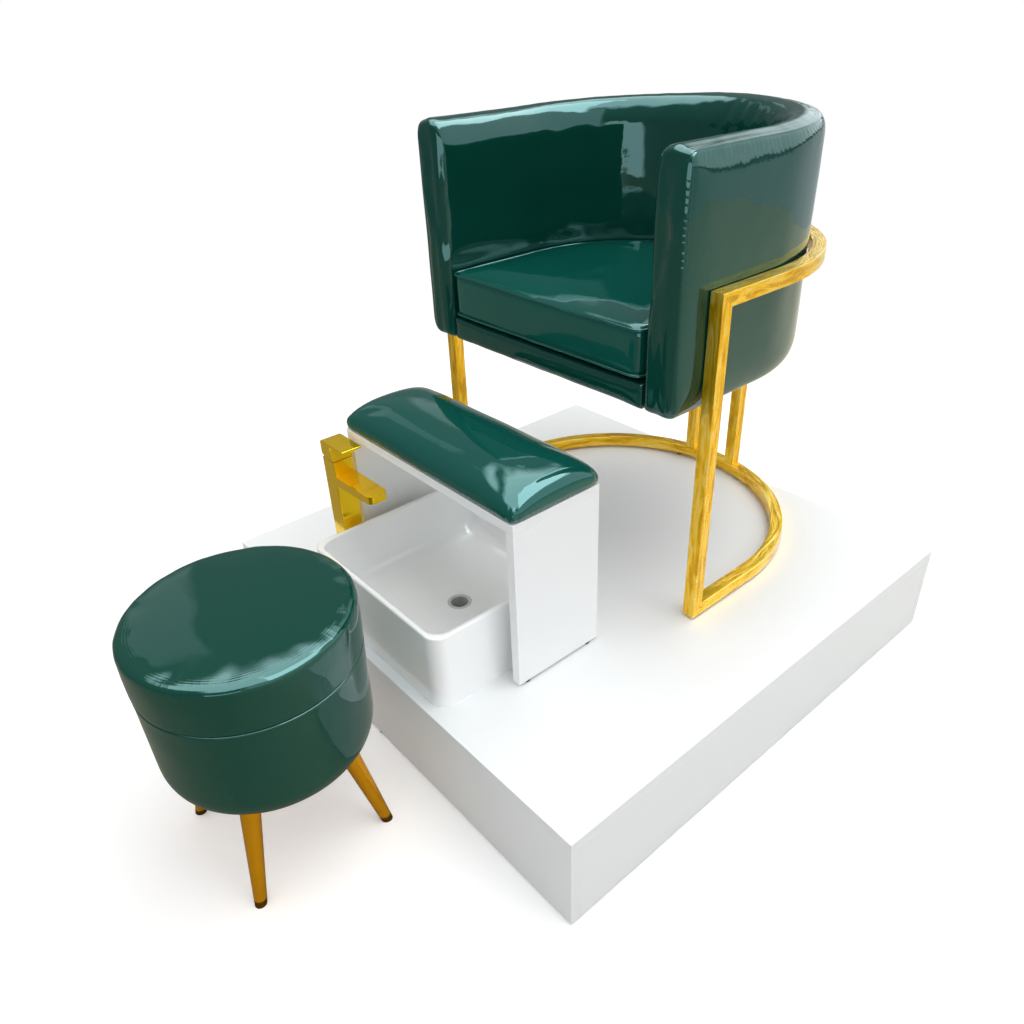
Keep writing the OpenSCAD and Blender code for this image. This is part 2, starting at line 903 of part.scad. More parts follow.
// Side outline of a front post, mitred at both ends
module post_side(inset) {
    polygon([[-frame_reach + inset, ring_z + inset],
        [-frame_reach + tube_side - inset, ring_z + tube_side - inset],
        [-frame_reach + tube_side - inset, rail_low_z + inset],
        [-frame_reach + inset, rail_top_z - inset]]);
}

module front_post(side) {
    translate([chair_x + side * frame_mid_r - tube_side / 2, chair_y, 0])
        rotate([90, 0, 90])
            difference() {
                linear_extrude(tube_side)
                    post_side(0);
                translate([0, 0, tube_wall])
                    linear_extrude(tube_side - 2 * tube_wall)
                        post_side(tube_wall);
            }
}

module left_front_post() {
    color(gold) front_post(-1);
}

module right_front_post() {
    color(gold) front_post(1);
}

// Upright tube from the floor ring to the rail, behind the tub
module rear_post(side) {
    h = rail_low_z - ring_z - tube_side;
    translate([chair_x + side * rear_post_x, chair_y + rear_post_y, ring_z + tube_side])
        linear_extrude(h)
            difference() {
                square(tube_side, center = true);
                square(tube_side - 2 * tube_wall, center = true);
            }
}

module left_rear_post() {
    color(gold) rear_post(-1);
}

module right_rear_post() {
    color(gold) rear_post(1);
}

// Pads between the floor ring and the deck
module ring_pads() {
    color(black_rubber)
        translate([chair_x, chair_y, deck_z])
            for (side = [-1, 1]) {
                translate([side * frame_mid_r, -frame_reach + tube_side, 0])
                    cylinder(r = pad_r, h = pad_h, $fn = fine);
                translate([side * ring_pad_x, ring_pad_y, 0])
                    cylinder(r = pad_r, h = pad_h, $fn = fine);
            }
}

// Washers that hold the tub off the rail
module shell_spacers() {
    spacer_z = rail_low_z + tube_side / 2;
    color(black_rubber)
        translate([chair_x, chair_y, spacer_z]) {
            for (a = spacer_angles)
                rotate([0, 90, a])
                    translate([0, 0, tub_r + seat_gap])
                        cylinder(r = spacer_r, h = tub_gap - 2 * seat_gap, $fn = fine);
            for (side = [-1, 1])
                translate([side * (tub_r + tub_gap / 2), -frame_reach * spacer_front_share, 0])
                    rotate([0, 90, 0])
                        cylinder(r = spacer_r, h = tub_gap - 2 * seat_gap, center = true, $fn = fine);
        }
}

// Tub

// Cross-section of the padded wall: offset outwards from the wall's middle, and height
function wall_section(inset, top_z) =
    let (half = tub_wall / 2 - inset,
        low = tub_low_z + inset,
        high = top_z - inset,
        inner_r = max(tub_inner_round - inset, tub_inner_round / 4),
        low_r = max(tub_low_round - inset, tub_low_round / 4),
        low_rise = max(tub_low_rise - inset, tub_low_rise / 4),
        top_r = max(tub_top_round - inset, tub_top_round / 4),
        drop = max(tub_top_drop - inset, tub_top_drop / 4),
        back_r = top_r * tub_inner_top_share,
        back_drop = drop * tub_inner_top_share)
    concat(
        arc_points(inner_r - half, low + inner_r, inner_r, inner_r, 180, 270, 3),
        arc_points(half - low_r, low + low_rise, low_r, low_rise, 270, 360, 5),
        arc_points(half - top_r, high - drop, top_r, drop, 0, 90, 5),
        [[0, high + tub_top_crown]],
        arc_points(back_r - half, high - back_drop, back_r, back_drop, 90, 180, 5));

// The section carried to a place on the plan, with its outward direction
function placed_section(section, place, outward) =
    [for (p = section) [place[0] + p[0] * outward[0], place[1] + p[0] * outward[1], p[1]]];

// Rings along the right arm's rounded end, or the left arm's when side is -1
function arm_end_rings(side) =
    [for (i = [0:4]) let (a = 90 * i / 4, inset = tub_end_round * (1 - sin(a)))
        placed_section(wall_section(inset, tub_arm_z),
            [side * tub_mid_r, -tub_reach + tub_end_round * (1 - cos(a))], [side, 0])];

function back_rings() =
    [for (i = [0:tub_arc_steps]) let (a = 180 * i / tub_arc_steps)
        placed_section(wall_section(0, tub_arm_z + tub_back_rise * sin(a)),
            [tub_mid_r * cos(a), tub_mid_r * sin(a)], [cos(a), sin(a)])];

function reversed(list) = [for (i = [len(list) - 1:-1:0]) list[i]];

// Arms and back in one padded wall
module tub_shell() {
    color(patent_green)
        translate([chair_x, chair_y, 0])
            skin(concat(arm_end_rings(-1), reversed(back_rings()), reversed(arm_end_rings(1))));
}

// Padded rail under the cushion's front edge
module front_rail() {
    front = -tub_reach + rail_recess;
    high_z = seat_z - rail_slot;
    width = 2 * (tub_inner_r - seat_gap);
    color(patent_green)
        translate([chair_x - width / 2, chair_y, 0])
            rotate([90, 0, 90])
                linear_extrude(width)
                    polygon(concat(
                        arc_points(front + rail_round, front_low_z + rail_round,
                            rail_round, rail_round, 180, 270, 6),
                        [[front + rail_depth, front_low_z], [front + rail_depth, high_z]],
                        arc_points(front + rail_round / 2, high_z - rail_round / 2,
                            rail_round / 2, rail_round / 2, 90, 180, 4)));
}

// Plate with a straight front and a half-round back
module tub_plate(r, front, t) {
    linear_extrude(t)
        union() {
            intersection() {
                circle(r, $fn = 2 * fine);
                translate([-r, 0])
                    square([2 * r, r]);
            }
            translate([-r, -front])
                square([2 * r, front]);
        }
}

// Wooden frame under the seat deck
module seat_frame() {
    r = tub_inner_r - wood_fit;
    front = tub_reach - rail_recess - rail_depth - seat_gap;
    low_z = front_low_z + cover_t + seat_gap;
    h = seat_z - seat_gap - deck_t - low_z;
    color(plain_wood)
        translate([chair_x, chair_y, low_z])
            difference() {
                tub_plate(r, front, h);
                translate([0, 0, -cut])
                    tub_plate(r - frame_ring_w, front - frame_ring_w, h + 2 * cut);
            }
}

module seat_deck() {
    color(plain_wood)
        translate([chair_x, chair_y, seat_z - seat_gap - deck_t])
            tub_plate(tub_inner_r - wood_fit, tub_reach - rail_recess - rail_depth - seat_gap, deck_t);
}

module bottom_cover() {
    color(black_rubber)
        translate([chair_x, chair_y, front_low_z])
            tub_plate(tub_inner_r - wood_fit, tub_reach - rail_recess - rail_depth - seat_gap, cover_t);
}

// Box cushion with welts along its edges, sides drawn in between them and a crown
module seat_cushion() {
    top_z = seat_z + cushion_t;
    mid_z = seat_z + cushion_t / 2;
    // Inset from the plan, and height
    profile = [[cushion_base_inset, seat_z], [groove, seat_z + welt_r / 2],
        [0, seat_z + welt_in], [groove, seat_z + 2 * welt_in], [groove / 3, mid_z],
        [groove, top_z - 2 * welt_in], [0, top_z - welt_in],
        [groove, top_z - welt_r / 2], [cushion_base_inset, top_z]];
    crown = [for (s = crown_shares) [seat_half_w * s[0], top_z + cushion_crown * s[1]]];
    color(patent_green)
        translate([chair_x, chair_y, 0])
            skin([for (p = concat(profile, crown))
                at_height(tub_plan(seat_half_w - p[0], tub_reach - p[0],
                    seat_front_r * (1 - p[0] / seat_half_w), 4, cushion_back_steps), p[1])]);
}

// Stool

seam_z = stool_h - stool_seam_drop;

// Seat pad: welted top edge, gentle crown and a belly that swells to the seam
module stool_seat_pad() {
    edge_r = stool_top_r;
    color(patent_green)
        translate([stool_x, stool_y, 0])
            rotate_extrude($fn = 2 * fine)
                polygon(concat([[0, seam_z + seat_gap / 2], [stool_belly_r - groove, seam_z + seat_gap / 2],
                    [stool_belly_r, seam_z + stool_welt_r],
                    [stool_belly_r - stool_top_taper * pad_side_share[0],
                        seam_z + stool_seam_drop * pad_side_share[1]],
                    [edge_r + stool_welt_r / 2, stool_h - 3 * stool_welt_r]],
                    arc_points(edge_r, stool_h - stool_welt_r, stool_welt_r, stool_welt_r, -60, 120, 6),
                    [for (i = [0:crown_steps]) let (s = 1 - i / crown_steps)
                        [(edge_r - 2 * stool_welt_r) * s,
                            stool_h - stool_welt_r + (stool_crown + stool_welt_r) * (1 - s * s)]]));
}

// Drum: sides drawn in towards a rounded foot, hollow for the base board
module stool_drum() {
    side_r = stool_bottom_r;
    color(patent_green)
        translate([stool_x, stool_y, 0])
            difference() {
                rotate_extrude($fn = 2 * fine)
                    polygon(concat([[0, stool_low_h]],
                        arc_points(side_r - stool_low_round, stool_low_h + stool_low_rise,
                            stool_low_round, stool_low_rise, 270, 345, 6),
                        [for (share = drum_side_shares)
                            [side_r + stool_foot_taper * share[0],
                                stool_low_h + (seam_z - stool_low_h) * share[1]]],
                        [[stool_belly_r, seam_z - stool_welt_r],
                        [stool_belly_r - groove, seam_z - seat_gap / 2], [0, seam_z - seat_gap / 2]]));
                translate([0, 0, stool_low_h - cut])
                    cylinder(r = stool_board_r + seat_gap,
                        h = stool_board_t + seat_gap + cut, $fn = 2 * fine);
            }
}

module stool_base_board() {
    color(plain_wood)
        translate([stool_x, stool_y, stool_low_h])
            cylinder(r = stool_board_r, h = stool_board_t, $fn = 2 * fine);
}

module stool_leg_plates() {
    color(gold)
        translate([stool_x, stool_y, stool_low_h - leg_plate_t])
            for (a = leg_angles)
                rotate([0, 0, a])
                    translate([leg_top_place_r, 0, 0])
                        cylinder(r = leg_plate_r, h = leg_plate_t, $fn = fine);
}

leg_h = stool_low_h - leg_plate_t;
leg_run = stool_foot_r - leg_top_place_r;
leg_lean = atan2(leg_run, leg_h);
leg_l = sqrt(leg_run * leg_run + leg_h * leg_h);

// Leaning tapered leg, cut level between the two heights
module leg_between(angle, low_z, high_z) {
    slope = (leg_top_r - leg_foot_r) / leg_l;
    translate([stool_x, stool_y, 0])
        rotate([0, 0, angle])
            intersection() {
                translate([stool_foot_r, 0, 0])
                    rotate([0, -leg_lean, 0])
                        translate([0, 0, -leg_top_r])
                            cylinder(r1 = leg_foot_r - slope * leg_top_r, r2 = leg_top_r * (1 + slope),
                                h = leg_l + 2 * leg_top_r, $fn = fine);
                translate([leg_top_place_r - 2 * leg_top_r, -2 * leg_top_r, low_z])
                    cube([leg_run + 4 * leg_top_r, 4 * leg_top_r, high_z - low_z]);
            }
}

module stool_leg_1() {
    color(gold) leg_between(leg_angles[0], leg_tip_h, leg_h);
}

module stool_leg_2() {
    color(gold) leg_between(leg_angles[1], leg_tip_h, leg_h);
}

module stool_leg_3() {
    color(gold) leg_between(leg_angles[2], leg_tip_h, leg_h);
}

module stool_leg_4() {
    color(gold) leg_between(leg_angles[3], leg_tip_h, leg_h);
}

module stool_leg_tips() {
    color(black_rubber)
        for (a = leg_angles)
            leg_between(a, 0, leg_tip_h);
}

deck_board();
front_panel();
back_panel();
left_panel();
right_panel();
cross_bearers();
corner_blocks();
platform_glides();
basin();
waste_body();
waste_seal();
waste_nut();
bottle_trap();
trap_cup();
waste_pipe();
waste_socket();
tap_gasket();
tap_body();
tap_aerator();
tap_cartridge();
tap_retaining_ring();
tap_turret();
tap_stem();
tap_handle();
tap_stud();
tap_clamp_washer();
tap_clamp_nut();
cold_tail();
hot_tail();
cold_coupling();
hot_coupling();
footrest_left_panel();
footrest_right_panel();
footrest_board();
footrest_feet();
footrest_pad();
floor_ring();
top_rail();
left_front_post();
right_front_post();
left_rear_post();
right_rear_post();
ring_pads();
shell_spacers();
tub_shell();
front_rail();
seat_frame();
seat_deck();
bottom_cover();
seat_cushion();
stool_seat_pad();
stool_drum();
stool_base_board();
stool_leg_plates();
stool_leg_1();
stool_leg_2();
stool_leg_3();
stool_leg_4();
stool_leg_tips();
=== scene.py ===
"""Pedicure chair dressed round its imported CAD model, with its studio and camera.

The patent tub, rail, cushion, footrest pad and stool covers are modelled here. Every
other piece is the CAD model itself, with its edges eased and a finish of its own.
"""

import logging
import math
from collections.abc import Callable, Iterator, Sequence
from contextlib import contextmanager
from dataclasses import dataclass
from enum import Enum
from functools import cache
from typing import ClassVar

import bmesh
import bpy
import numpy as np
from mathutils import Matrix, Vector, noise


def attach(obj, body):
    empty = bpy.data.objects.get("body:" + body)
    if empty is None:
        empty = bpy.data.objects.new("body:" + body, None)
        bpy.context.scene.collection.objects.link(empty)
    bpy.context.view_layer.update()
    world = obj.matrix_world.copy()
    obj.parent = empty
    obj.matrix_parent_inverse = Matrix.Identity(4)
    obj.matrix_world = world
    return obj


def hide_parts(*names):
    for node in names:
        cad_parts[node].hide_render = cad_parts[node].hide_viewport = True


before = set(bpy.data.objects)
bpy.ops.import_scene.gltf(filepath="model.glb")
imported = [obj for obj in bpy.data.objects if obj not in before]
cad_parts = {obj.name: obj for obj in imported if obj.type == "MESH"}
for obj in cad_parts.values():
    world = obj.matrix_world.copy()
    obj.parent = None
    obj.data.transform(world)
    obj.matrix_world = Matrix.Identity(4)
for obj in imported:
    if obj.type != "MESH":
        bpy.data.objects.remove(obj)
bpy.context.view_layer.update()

log = logging.getLogger("pedicure_chair")

Array = np.ndarray
Node = bpy.types.Node
Piece = bpy.types.Object
Socket = bpy.types.NodeSocket
Tree = bpy.types.NodeTree
Colour = Place = tuple[float, float, float]
Pair = tuple[float, float]

CHAIR_CENTRE: Pair = (-0.028, 0.165)
FLAT_ANGLE = math.radians(0.4)
EASED_ANGLE = math.radians(32)
SHARP_ANGLE = math.radians(60)
FULL_TURN = 2 * math.pi
DEGREES = 180 / math.pi
WELD = 1e-5
CLOSE = 1e-4
FIRST_VOXEL = 0.006
WHITE: Colour = (1.0, 1.0, 1.0)


class Side(Enum):
    """The two sides of the chair, along X."""

    LEFT = -1
    RIGHT = 1


class Ease(Enum):
    """Widths, in metres, to which the edges of a CAD node are eased."""

    BOARD = 0.0008
    TUBE = 0.0022
    TAP = 0.0007
    SMALL = 0.0004


# Modelling by hand


def select_only(obj: Piece) -> None:
    """Makes one object the selected and active one."""
    bpy.ops.object.select_all(action="DESELECT")
    obj.hide_set(False)
    obj.select_set(True)
    bpy.context.view_layer.objects.active = obj


@contextmanager
def editing(obj: Piece) -> Iterator[None]:
    """Opens an object in edit mode and closes it again.

    Args:
        obj: the mesh object to edit.
    """
    select_only(obj)
    bpy.ops.object.mode_set(mode="EDIT")
    bpy.ops.mesh.select_mode(type="VERT")
    yield
    bpy.ops.object.mode_set(mode="OBJECT")


def pick_vertices(obj: Piece, wanted: Callable[[Vector], bool]) -> None:
    """Selects, in edit mode, the vertices at wanted places.

    Args:
        obj: the mesh object in edit mode.
        wanted: says whether a vertex at this place is selected.
    """
    mesh = bmesh.from_edit_mesh(obj.data)
    bpy.ops.mesh.select_all(action="DESELECT")
    for vertex in mesh.verts:
        vertex.select = wanted(vertex.co)
    mesh.select_flush(True)
    bmesh.update_edit_mesh(obj.data)


def pick_edges(obj: Piece, wanted: Callable[[bmesh.types.BMEdge], bool]) -> None:
    """Selects, in edit mode, the wanted edges, and leaves the mesh picking edges."""
    mesh = bmesh.from_edit_mesh(obj.data)
    bpy.ops.mesh.select_all(action="DESELECT")
    bpy.ops.mesh.select_mode(type="EDGE")
    for edge in mesh.edges:
        edge.select = wanted(edge)
    bmesh.update_edit_mesh(obj.data)


def pick_all() -> None:
    """Selects the whole mesh in edit mode."""
    bpy.ops.mesh.select_all(action="SELECT")


def new_primitive(name: str, add: Callable[..., object], **sizes: object) -> Piece:
    """Adds a primitive and puts its place and size into its mesh.

    Args:
        name: the piece's name.
        add: the operator that adds it.
        sizes: what the operator is given.

    Returns:
        The object, at the origin and unscaled.
    """
    bpy.ops.object.select_all(action="DESELECT")
    add(**sizes)
    obj = bpy.context.active_object
    obj.name = obj.data.name = name
    select_only(obj)
    bpy.ops.object.transform_apply(location=True, rotation=True, scale=True)
    return obj


def new_object(name: str, data: bpy.types.ID) -> Piece:
    """Adds an object that holds this mesh, curve, camera or lamp."""
    obj = bpy.data.objects.new(name, data)
    bpy.context.scene.collection.objects.link(obj)
    return obj


def block(name: str, middle: Place, half: Place) -> Piece:
    """Adds a block by its middle and its half sizes."""
    return new_primitive(name, bpy.ops.mesh.primitive_cube_add, size=2.0, location=middle, scale=half)


def add_modifier(obj: Piece, name: str, kind: str, **values: object) -> bpy.types.Modifier:
    """Adds a modifier with these values."""
    modifier = obj.modifiers.new(name, kind)
    for key, value in values.items():
        setattr(modifier, key, value)
    return modifier


def apply(obj: Piece, kind: str, **values: object) -> None:
    """Adds a modifier with these values and applies it.

    Args:
        obj: the mesh object.
        kind: the modifier's type, such as SUBSURF.
        values: the modifier's settings.
    """
    select_only(obj)
    modifier = add_modifier(obj, kind.lower(), kind, **values)
    bpy.ops.object.modifier_apply(modifier=modifier.name)


def subdivide(obj: Piece, levels: int = 1) -> None:
    """Rounds a mesh with an applied subdivision surface."""
    apply(obj, "SUBSURF", levels=levels, render_levels=levels)


def face_outwards(obj: Piece) -> None:
    """Merges doubles and turns every face outwards."""
    with editing(obj):
        pick_all()
        bpy.ops.mesh.remove_doubles(threshold=1e-6)
        bpy.ops.mesh.normals_make_consistent(inside=False)


def smooth(obj: Piece, angle: float = 180.0) -> None:
    """Shades an object smooth where its faces meet below an angle in degrees."""
    select_only(obj)
    bpy.ops.object.shade_smooth_by_angle(angle=math.radians(angle))


def points_of(obj: Piece) -> Array:
    """The vertices of a mesh, one row each."""
    flat = np.empty(len(obj.data.vertices) * 3)
    obj.data.vertices.foreach_get("co", flat)
    return flat.reshape(-1, 3)


def normals_of(obj: Piece) -> Array:
    """The vertex normals of a mesh, one row each."""
    flat = np.empty(len(obj.data.vertices) * 3, np.float32)
    obj.data.vertex_normals.foreach_get("vector", flat)
    return flat.reshape(-1, 3).astype(float)


def move_points(obj: Piece, points: Array) -> None:
    """Writes new places for a mesh's vertices."""
    obj.data.vertices.foreach_set("co", np.asarray(points, float).ravel())
    obj.data.update()


def push(obj: Piece, shift: Array) -> None:
    """Moves each vertex along its normal by its own distance."""
    move_points(obj, points_of(obj) + normals_of(obj) * shift[:, None])


def mark(obj: Piece, **marks: Array) -> None:
    """Stores values on a mesh's vertices, by name, for its finish to read."""
    for name, values in marks.items():
        attribute = obj.data.attributes.new(name, "FLOAT", "POINT")
        attribute.data.foreach_set("value", values.astype(np.float32))


def drift(points: Array, per_metre: float, seed: float) -> Array:
    """Smooth noise from -1 to 1 at each point.

    Args:
        points: the places, one row each.
        per_metre: how many swings there are in a metre.
        seed: an offset, so that pieces differ.

    Returns:
        One value for each point.
    """
    return np.array([noise.noise(Vector(p) * per_metre + Vector((seed, seed / 2, -seed)))
                     for p in points])


def waves(points: Array, *kinds: tuple[float, float, float]) -> Array:
    """Adds up kinds of smooth noise.

    Args:
        points: the places, one row each.
        kinds: depth, swings in a metre and seed of each kind.

    Returns:
        One value for each point.
    """
    return sum(depth * drift(points, per_metre, seed) for depth, per_metre, seed in kinds)


def arch(share: Array, flat: float, steep: float) -> Array:
    """A rise from 0 at the edge, where the share is 1, to 1 in the middle."""
    return np.clip(1 - share ** flat, 0, 1) ** steep


def band(value: Array, centre: float, width: float) -> Array:
    """A soft bump of height 1 round a centre."""
    return np.exp(-((value - centre) / width) ** 2)


def ease_steps(value: Array, low: float, high: float) -> Array:
    """A smooth rise from 0 at low to 1 at high."""
    t = np.clip((value - low) / (high - low), 0, 1)
    return t * t * (3 - 2 * t)


@dataclass(frozen=True)
class Swelling:
    """How a stuffed piece is blown up as cloth; a voxel of 0 keeps its own faces."""

    CLOTH: ClassVar[dict[str, object]] = {
        "quality": 6, "mass": 0.3, "tension_stiffness": 15, "compression_stiffness": 15,
        "shear_stiffness": 5, "bending_stiffness": 2.0, "use_pressure": True,
        "vertex_group_mass": "held", "pin_stiffness": 1.0}

    cap: float
    voxel: float = 0.006
    pressure: float = 4.0
    frames: int = 20
    relax: int = 8

    def run(self, obj: Piece, held: Callable[[Array], Array]) -> None:
        """Swells a closed piece, caps how far it moved and smooths it.

        Args:
            obj: the closed mesh, slightly smaller than the finished piece.
            held: gives, for the vertices, how far each is held, from 0 to 1.
        """
        if self.voxel > 0:
            apply(obj, "REMESH", mode="VOXEL", voxel_size=self.voxel, use_smooth_shade=True)
        rest = points_of(obj)
        weights = held(rest)
        self.simulate(obj, weights)
        moved = points_of(obj) - rest
        length = np.linalg.norm(moved, axis=1)
        share = self.cap * np.tanh(length / self.cap) / np.maximum(length, 1e-9)
        move_points(obj, rest + moved * np.where(length > 1e-9, share, 0)[:, None])
        with editing(obj):
            pick_all()
            bpy.ops.mesh.vertices_smooth(factor=0.5, repeat=self.relax)
        subdivide(obj)

    def simulate(self, obj: Piece, weights: Array) -> None:
        """Blows the piece up with Blender's cloth and applies the result.

        Args:
            obj: the remeshed piece.
            weights: how far each vertex is held.
        """
        group = obj.vertex_groups.new(name="held")
        for index, weight in enumerate(weights):
            if weight > 0.01:
                group.add([index], float(weight), "REPLACE")
        cloth = obj.modifiers.new("swelling", "CLOTH")
        for key, value in self.CLOTH.items():
            setattr(cloth.settings, key, value)
        cloth.settings.uniform_pressure_force = self.pressure
        cloth.settings.effector_weights.gravity = 0
        cloth.collision_settings.use_collision = False
        cloth.point_cache.frame_start = 1
        cloth.point_cache.frame_end = self.frames
        for frame_number in range(1, self.frames + 1):
            bpy.context.scene.frame_set(frame_number)
        select_only(obj)
        bpy.ops.object.modifier_apply(modifier=cloth.name)
        bpy.context.scene.frame_set(1)
        obj.vertex_groups.clear()


def piping(name: str, path: Array, radius: float, wander: float, seed: float) -> Piece:
    """A corded edge: a round tube along a closed path that wanders a little.

    Args:
        name: the piece's name.
        path: the points of the closed path.
        radius: the tube's radius.
        wander: how far the cord strays.
        seed: an offset for the straying.

    Returns:
        The tube as a mesh object.
    """
    strayed = path + np.stack([drift(path, 14, seed + k) * wander for k in range(3)], axis=1)
    curve = bpy.data.curves.new(name, "CURVE")
    curve.dimensions = "3D"
    curve.bevel_depth = radius
    curve.bevel_resolution = 3
    curve.use_fill_caps = False
    spline = curve.splines.new("POLY")
    spline.points.add(len(strayed) - 1)
    for point, place in zip(spline.points, strayed):
        point.co = (*place, 1.0)
    spline.use_cyclic_u = True
    select_only(new_object(name, curve))
    bpy.ops.object.convert(target="MESH")
    obj = bpy.context.active_object
    face_outwards(obj)
    smooth(obj)
    return obj


# Finishes


class Graph:
    """Adds and joins the nodes of one shader tree."""

    def __init__(self, tree: Tree) -> None:
        """Takes the tree to work on."""
        self.tree = tree

    def add(self, kind: str, sockets: dict[str, object] | None = None, **settings: object) -> Node:
        """Adds a node.

        Args:
            kind: the node's type after ShaderNode.
            sockets: values or outputs for its inputs, by name.
            settings: values for the node's own properties.

        Returns:
            The new node.
        """
        node = self.tree.nodes.new("ShaderNode" + kind)
        for key, value in settings.items():
            setattr(node, key, value)
        for key, value in (sockets or {}).items():
            self.feed(node.inputs[key], value)
        return node

    def feed(self, socket: Socket, value: object) -> None:
        """Joins an output to a socket, or sets the socket's own value."""
        if isinstance(value, Socket):
            self.tree.links.new(value, socket)
        elif isinstance(value, tuple) and len(value) == 3 and socket.type == "RGBA":
            socket.default_value = (*value, 1.0)
        else:
            socket.default_value = value

    def group(self, tree: Tree, sockets: dict[str, object]) -> dict[str, Socket]:
        """Places a shader group and gives its outputs, by name."""
        return self.add("Group", sockets, node_tree=tree).outputs

    def math(self, operation: str, first: object, second: object = 0.0) -> Socket:
        """The result of a Math node."""
        node = self.add("Math", operation=operation)
        self.feed(node.inputs[0], first)
        self.feed(node.inputs[1], second)
        return node.outputs[0]

    def plus(self, first: object, second: object) -> Socket:
        """A sum."""
        return self.math("ADD", first, second)

    def minus(self, first: object, second: object) -> Socket:
        """A difference."""
        return self.math("SUBTRACT", first, second)

    def times(self, first: object, *others: object) -> Socket:
        """A product of two or more values."""
        for other in others:
            first = self.math("MULTIPLY", first, other)
        return first

    def scaled(self, colour: Colour, level: Socket) -> Socket:
        """A colour times a level."""
        node = self.add("VectorMath", {"Scale": level}, operation="SCALE")
        node.inputs[0].default_value = colour
        return node.outputs[0]

    def mix(self, share: object, first: object, second: object, blend: str = "MIX") -> Socket:
        """Mixes two colours.

        Args:
            share: how much of the second shows, from 0 to 1.
            first: the colour at 0.
            second: the colour at 1.
            blend: how they mix.

        Returns:
            The mixed colour.
        """
        node = self.add("Mix", data_type="RGBA", blend_type=blend)
        self.feed(node.inputs[0], share)
        self.feed(node.inputs[6], first)
        self.feed(node.inputs[7], second)
        return node.outputs[2]

    def span(self, value: object, low: float, high: float, to_low: float, to_high: float) -> Socket:
        """Maps a value from one range to another, with its ends held."""
        node = self.add("MapRange", {"Value": value, "From Min": low, "From Max": high,
                                     "To Min": to_low, "To Max": to_high})
        return node.outputs["Result"]

    def noise(self, where: Socket, scale: object, detail: float = 2.0, rough: float = 0.5) -> Socket:
        """The value of a noise texture."""
        return self.add("TexNoise", {"Vector": where, "Scale": scale, "Detail": detail,
                                     "Roughness": rough}).outputs["Fac"]

    def attribute(self, name: str) -> Socket:
        """The values that a piece has under this name."""
        return self.add("Attribute", attribute_name=name).outputs["Fac"]

    def mix_shaders(self, share: Socket, first: Socket, second: Socket) -> Socket:
        """The first shader where the share is 0 and the second where it is 1."""
        node = self.add("MixShader")
        for socket, value in zip(node.inputs, (share, first, second)):
            self.feed(socket, value)
        return node.outputs[0]

    def bump(self, height: Socket, distance: float, under: Socket | None = None,
             strength: float = 1.0) -> Socket:
        """The normal of a Bump node, on top of another normal if one is given."""
        sockets = {"Height": height, "Strength": strength, "Distance": distance}
        if under is not None:
            sockets["Normal"] = under
        return self.add("Bump", sockets).outputs["Normal"]


def open_graph(owner: bpy.types.Material | bpy.types.World) -> Graph:
    """Gives a material or world an empty tree of nodes."""
    owner.use_nodes = True
    owner.node_tree.nodes.clear()
    return Graph(owner.node_tree)


KINDS = {tuple: "NodeSocketColor", float: "NodeSocketFloat", type(None): "NodeSocketVector"}
GREY = (0.8, 0.8, 0.8, 1.0)


def start_group(name: str, inputs: dict[str, object],
                outputs: dict[str, object]) -> tuple[Graph, dict[str, Socket], dict[str, Socket]]:
    """Starts a shader group with its sockets.

    Args:
        name: the group's name.
        inputs: default values by name; None stands for a vector.
        outputs: any values of the outputs' kinds, by name.

    Returns:
        The group's graph, the sockets that it is given, and those that it feeds.
    """
    tree = bpy.data.node_groups.new(name, "ShaderNodeTree")
    for way, sockets in (("INPUT", inputs), ("OUTPUT", outputs)):
        for key, value in sockets.items():
            socket = tree.interface.new_socket(key, in_out=way, socket_type=KINDS[type(value)])
            if way == "INPUT" and value is not None:
                socket.default_value = value
    given = tree.nodes.new("NodeGroupInput").outputs
    fed = tree.nodes.new("NodeGroupOutput").inputs
    return Graph(tree), given, fed


@cache
def tone_drift() -> Tree:
    """Lets a colour drift lighter and darker over the surface."""
    graph, given, fed = start_group(
        "tone drift", {"Vector": None, "Colour": GREY, "Scale": 3.0, "Amount": 0.1}, {"Colour": GREY})
    value = graph.noise(given["Vector"], given["Scale"], 3.0)
    swing = graph.times(graph.minus(value, 0.5), given["Amount"])
    shade = graph.add("HueSaturation", {
        "Color": given["Colour"], "Value": graph.plus(graph.times(swing, 2.0), 1.0)})
    graph.feed(fed["Colour"], shade.outputs["Color"])
    return graph.tree


@cache
def wear() -> Tree:
    """Faint smears and fine scratches that make a gloss uneven."""
    graph, given, fed = start_group(
        "handling", {"Vector": None, "Level": 0.2, "Amount": 0.08}, {"Roughness": 0.0})
    where = given["Vector"]
    smear = graph.span(graph.noise(where, 7.0, 4.0, 0.6), 0.45, 0.75, 0.0, 1.0)
    stretch = graph.add("Mapping", {"Vector": where, "Scale": (14.0, 160.0, 40.0),
                                    "Rotation": (0.3, 0.2, 0.7)}).outputs["Vector"]
    scratch = graph.span(graph.noise(stretch, 3.0, 2.0), 0.66, 0.74, 0.0, 0.6)
    total = graph.times(graph.plus(smear, scratch), given["Amount"])
    graph.feed(fed["Roughness"], graph.plus(total, given["Level"]))
    return graph.tree


@cache
def ripple() -> Tree:
    """Slow waves with finer ones on them, as a height."""
    graph, given, fed = start_group(
        "ripple", {"Vector": None, "Scale": 10.0, "Fine": 0.2}, {"Height": 0.0})
    slow = graph.noise(given["Vector"], given["Scale"], 1.0)
    quick = graph.noise(given["Vector"], graph.times(given["Scale"], 5.0), 1.0)
    graph.feed(fed["Height"], graph.plus(slow, graph.times(quick, given["Fine"])))
    return graph.tree


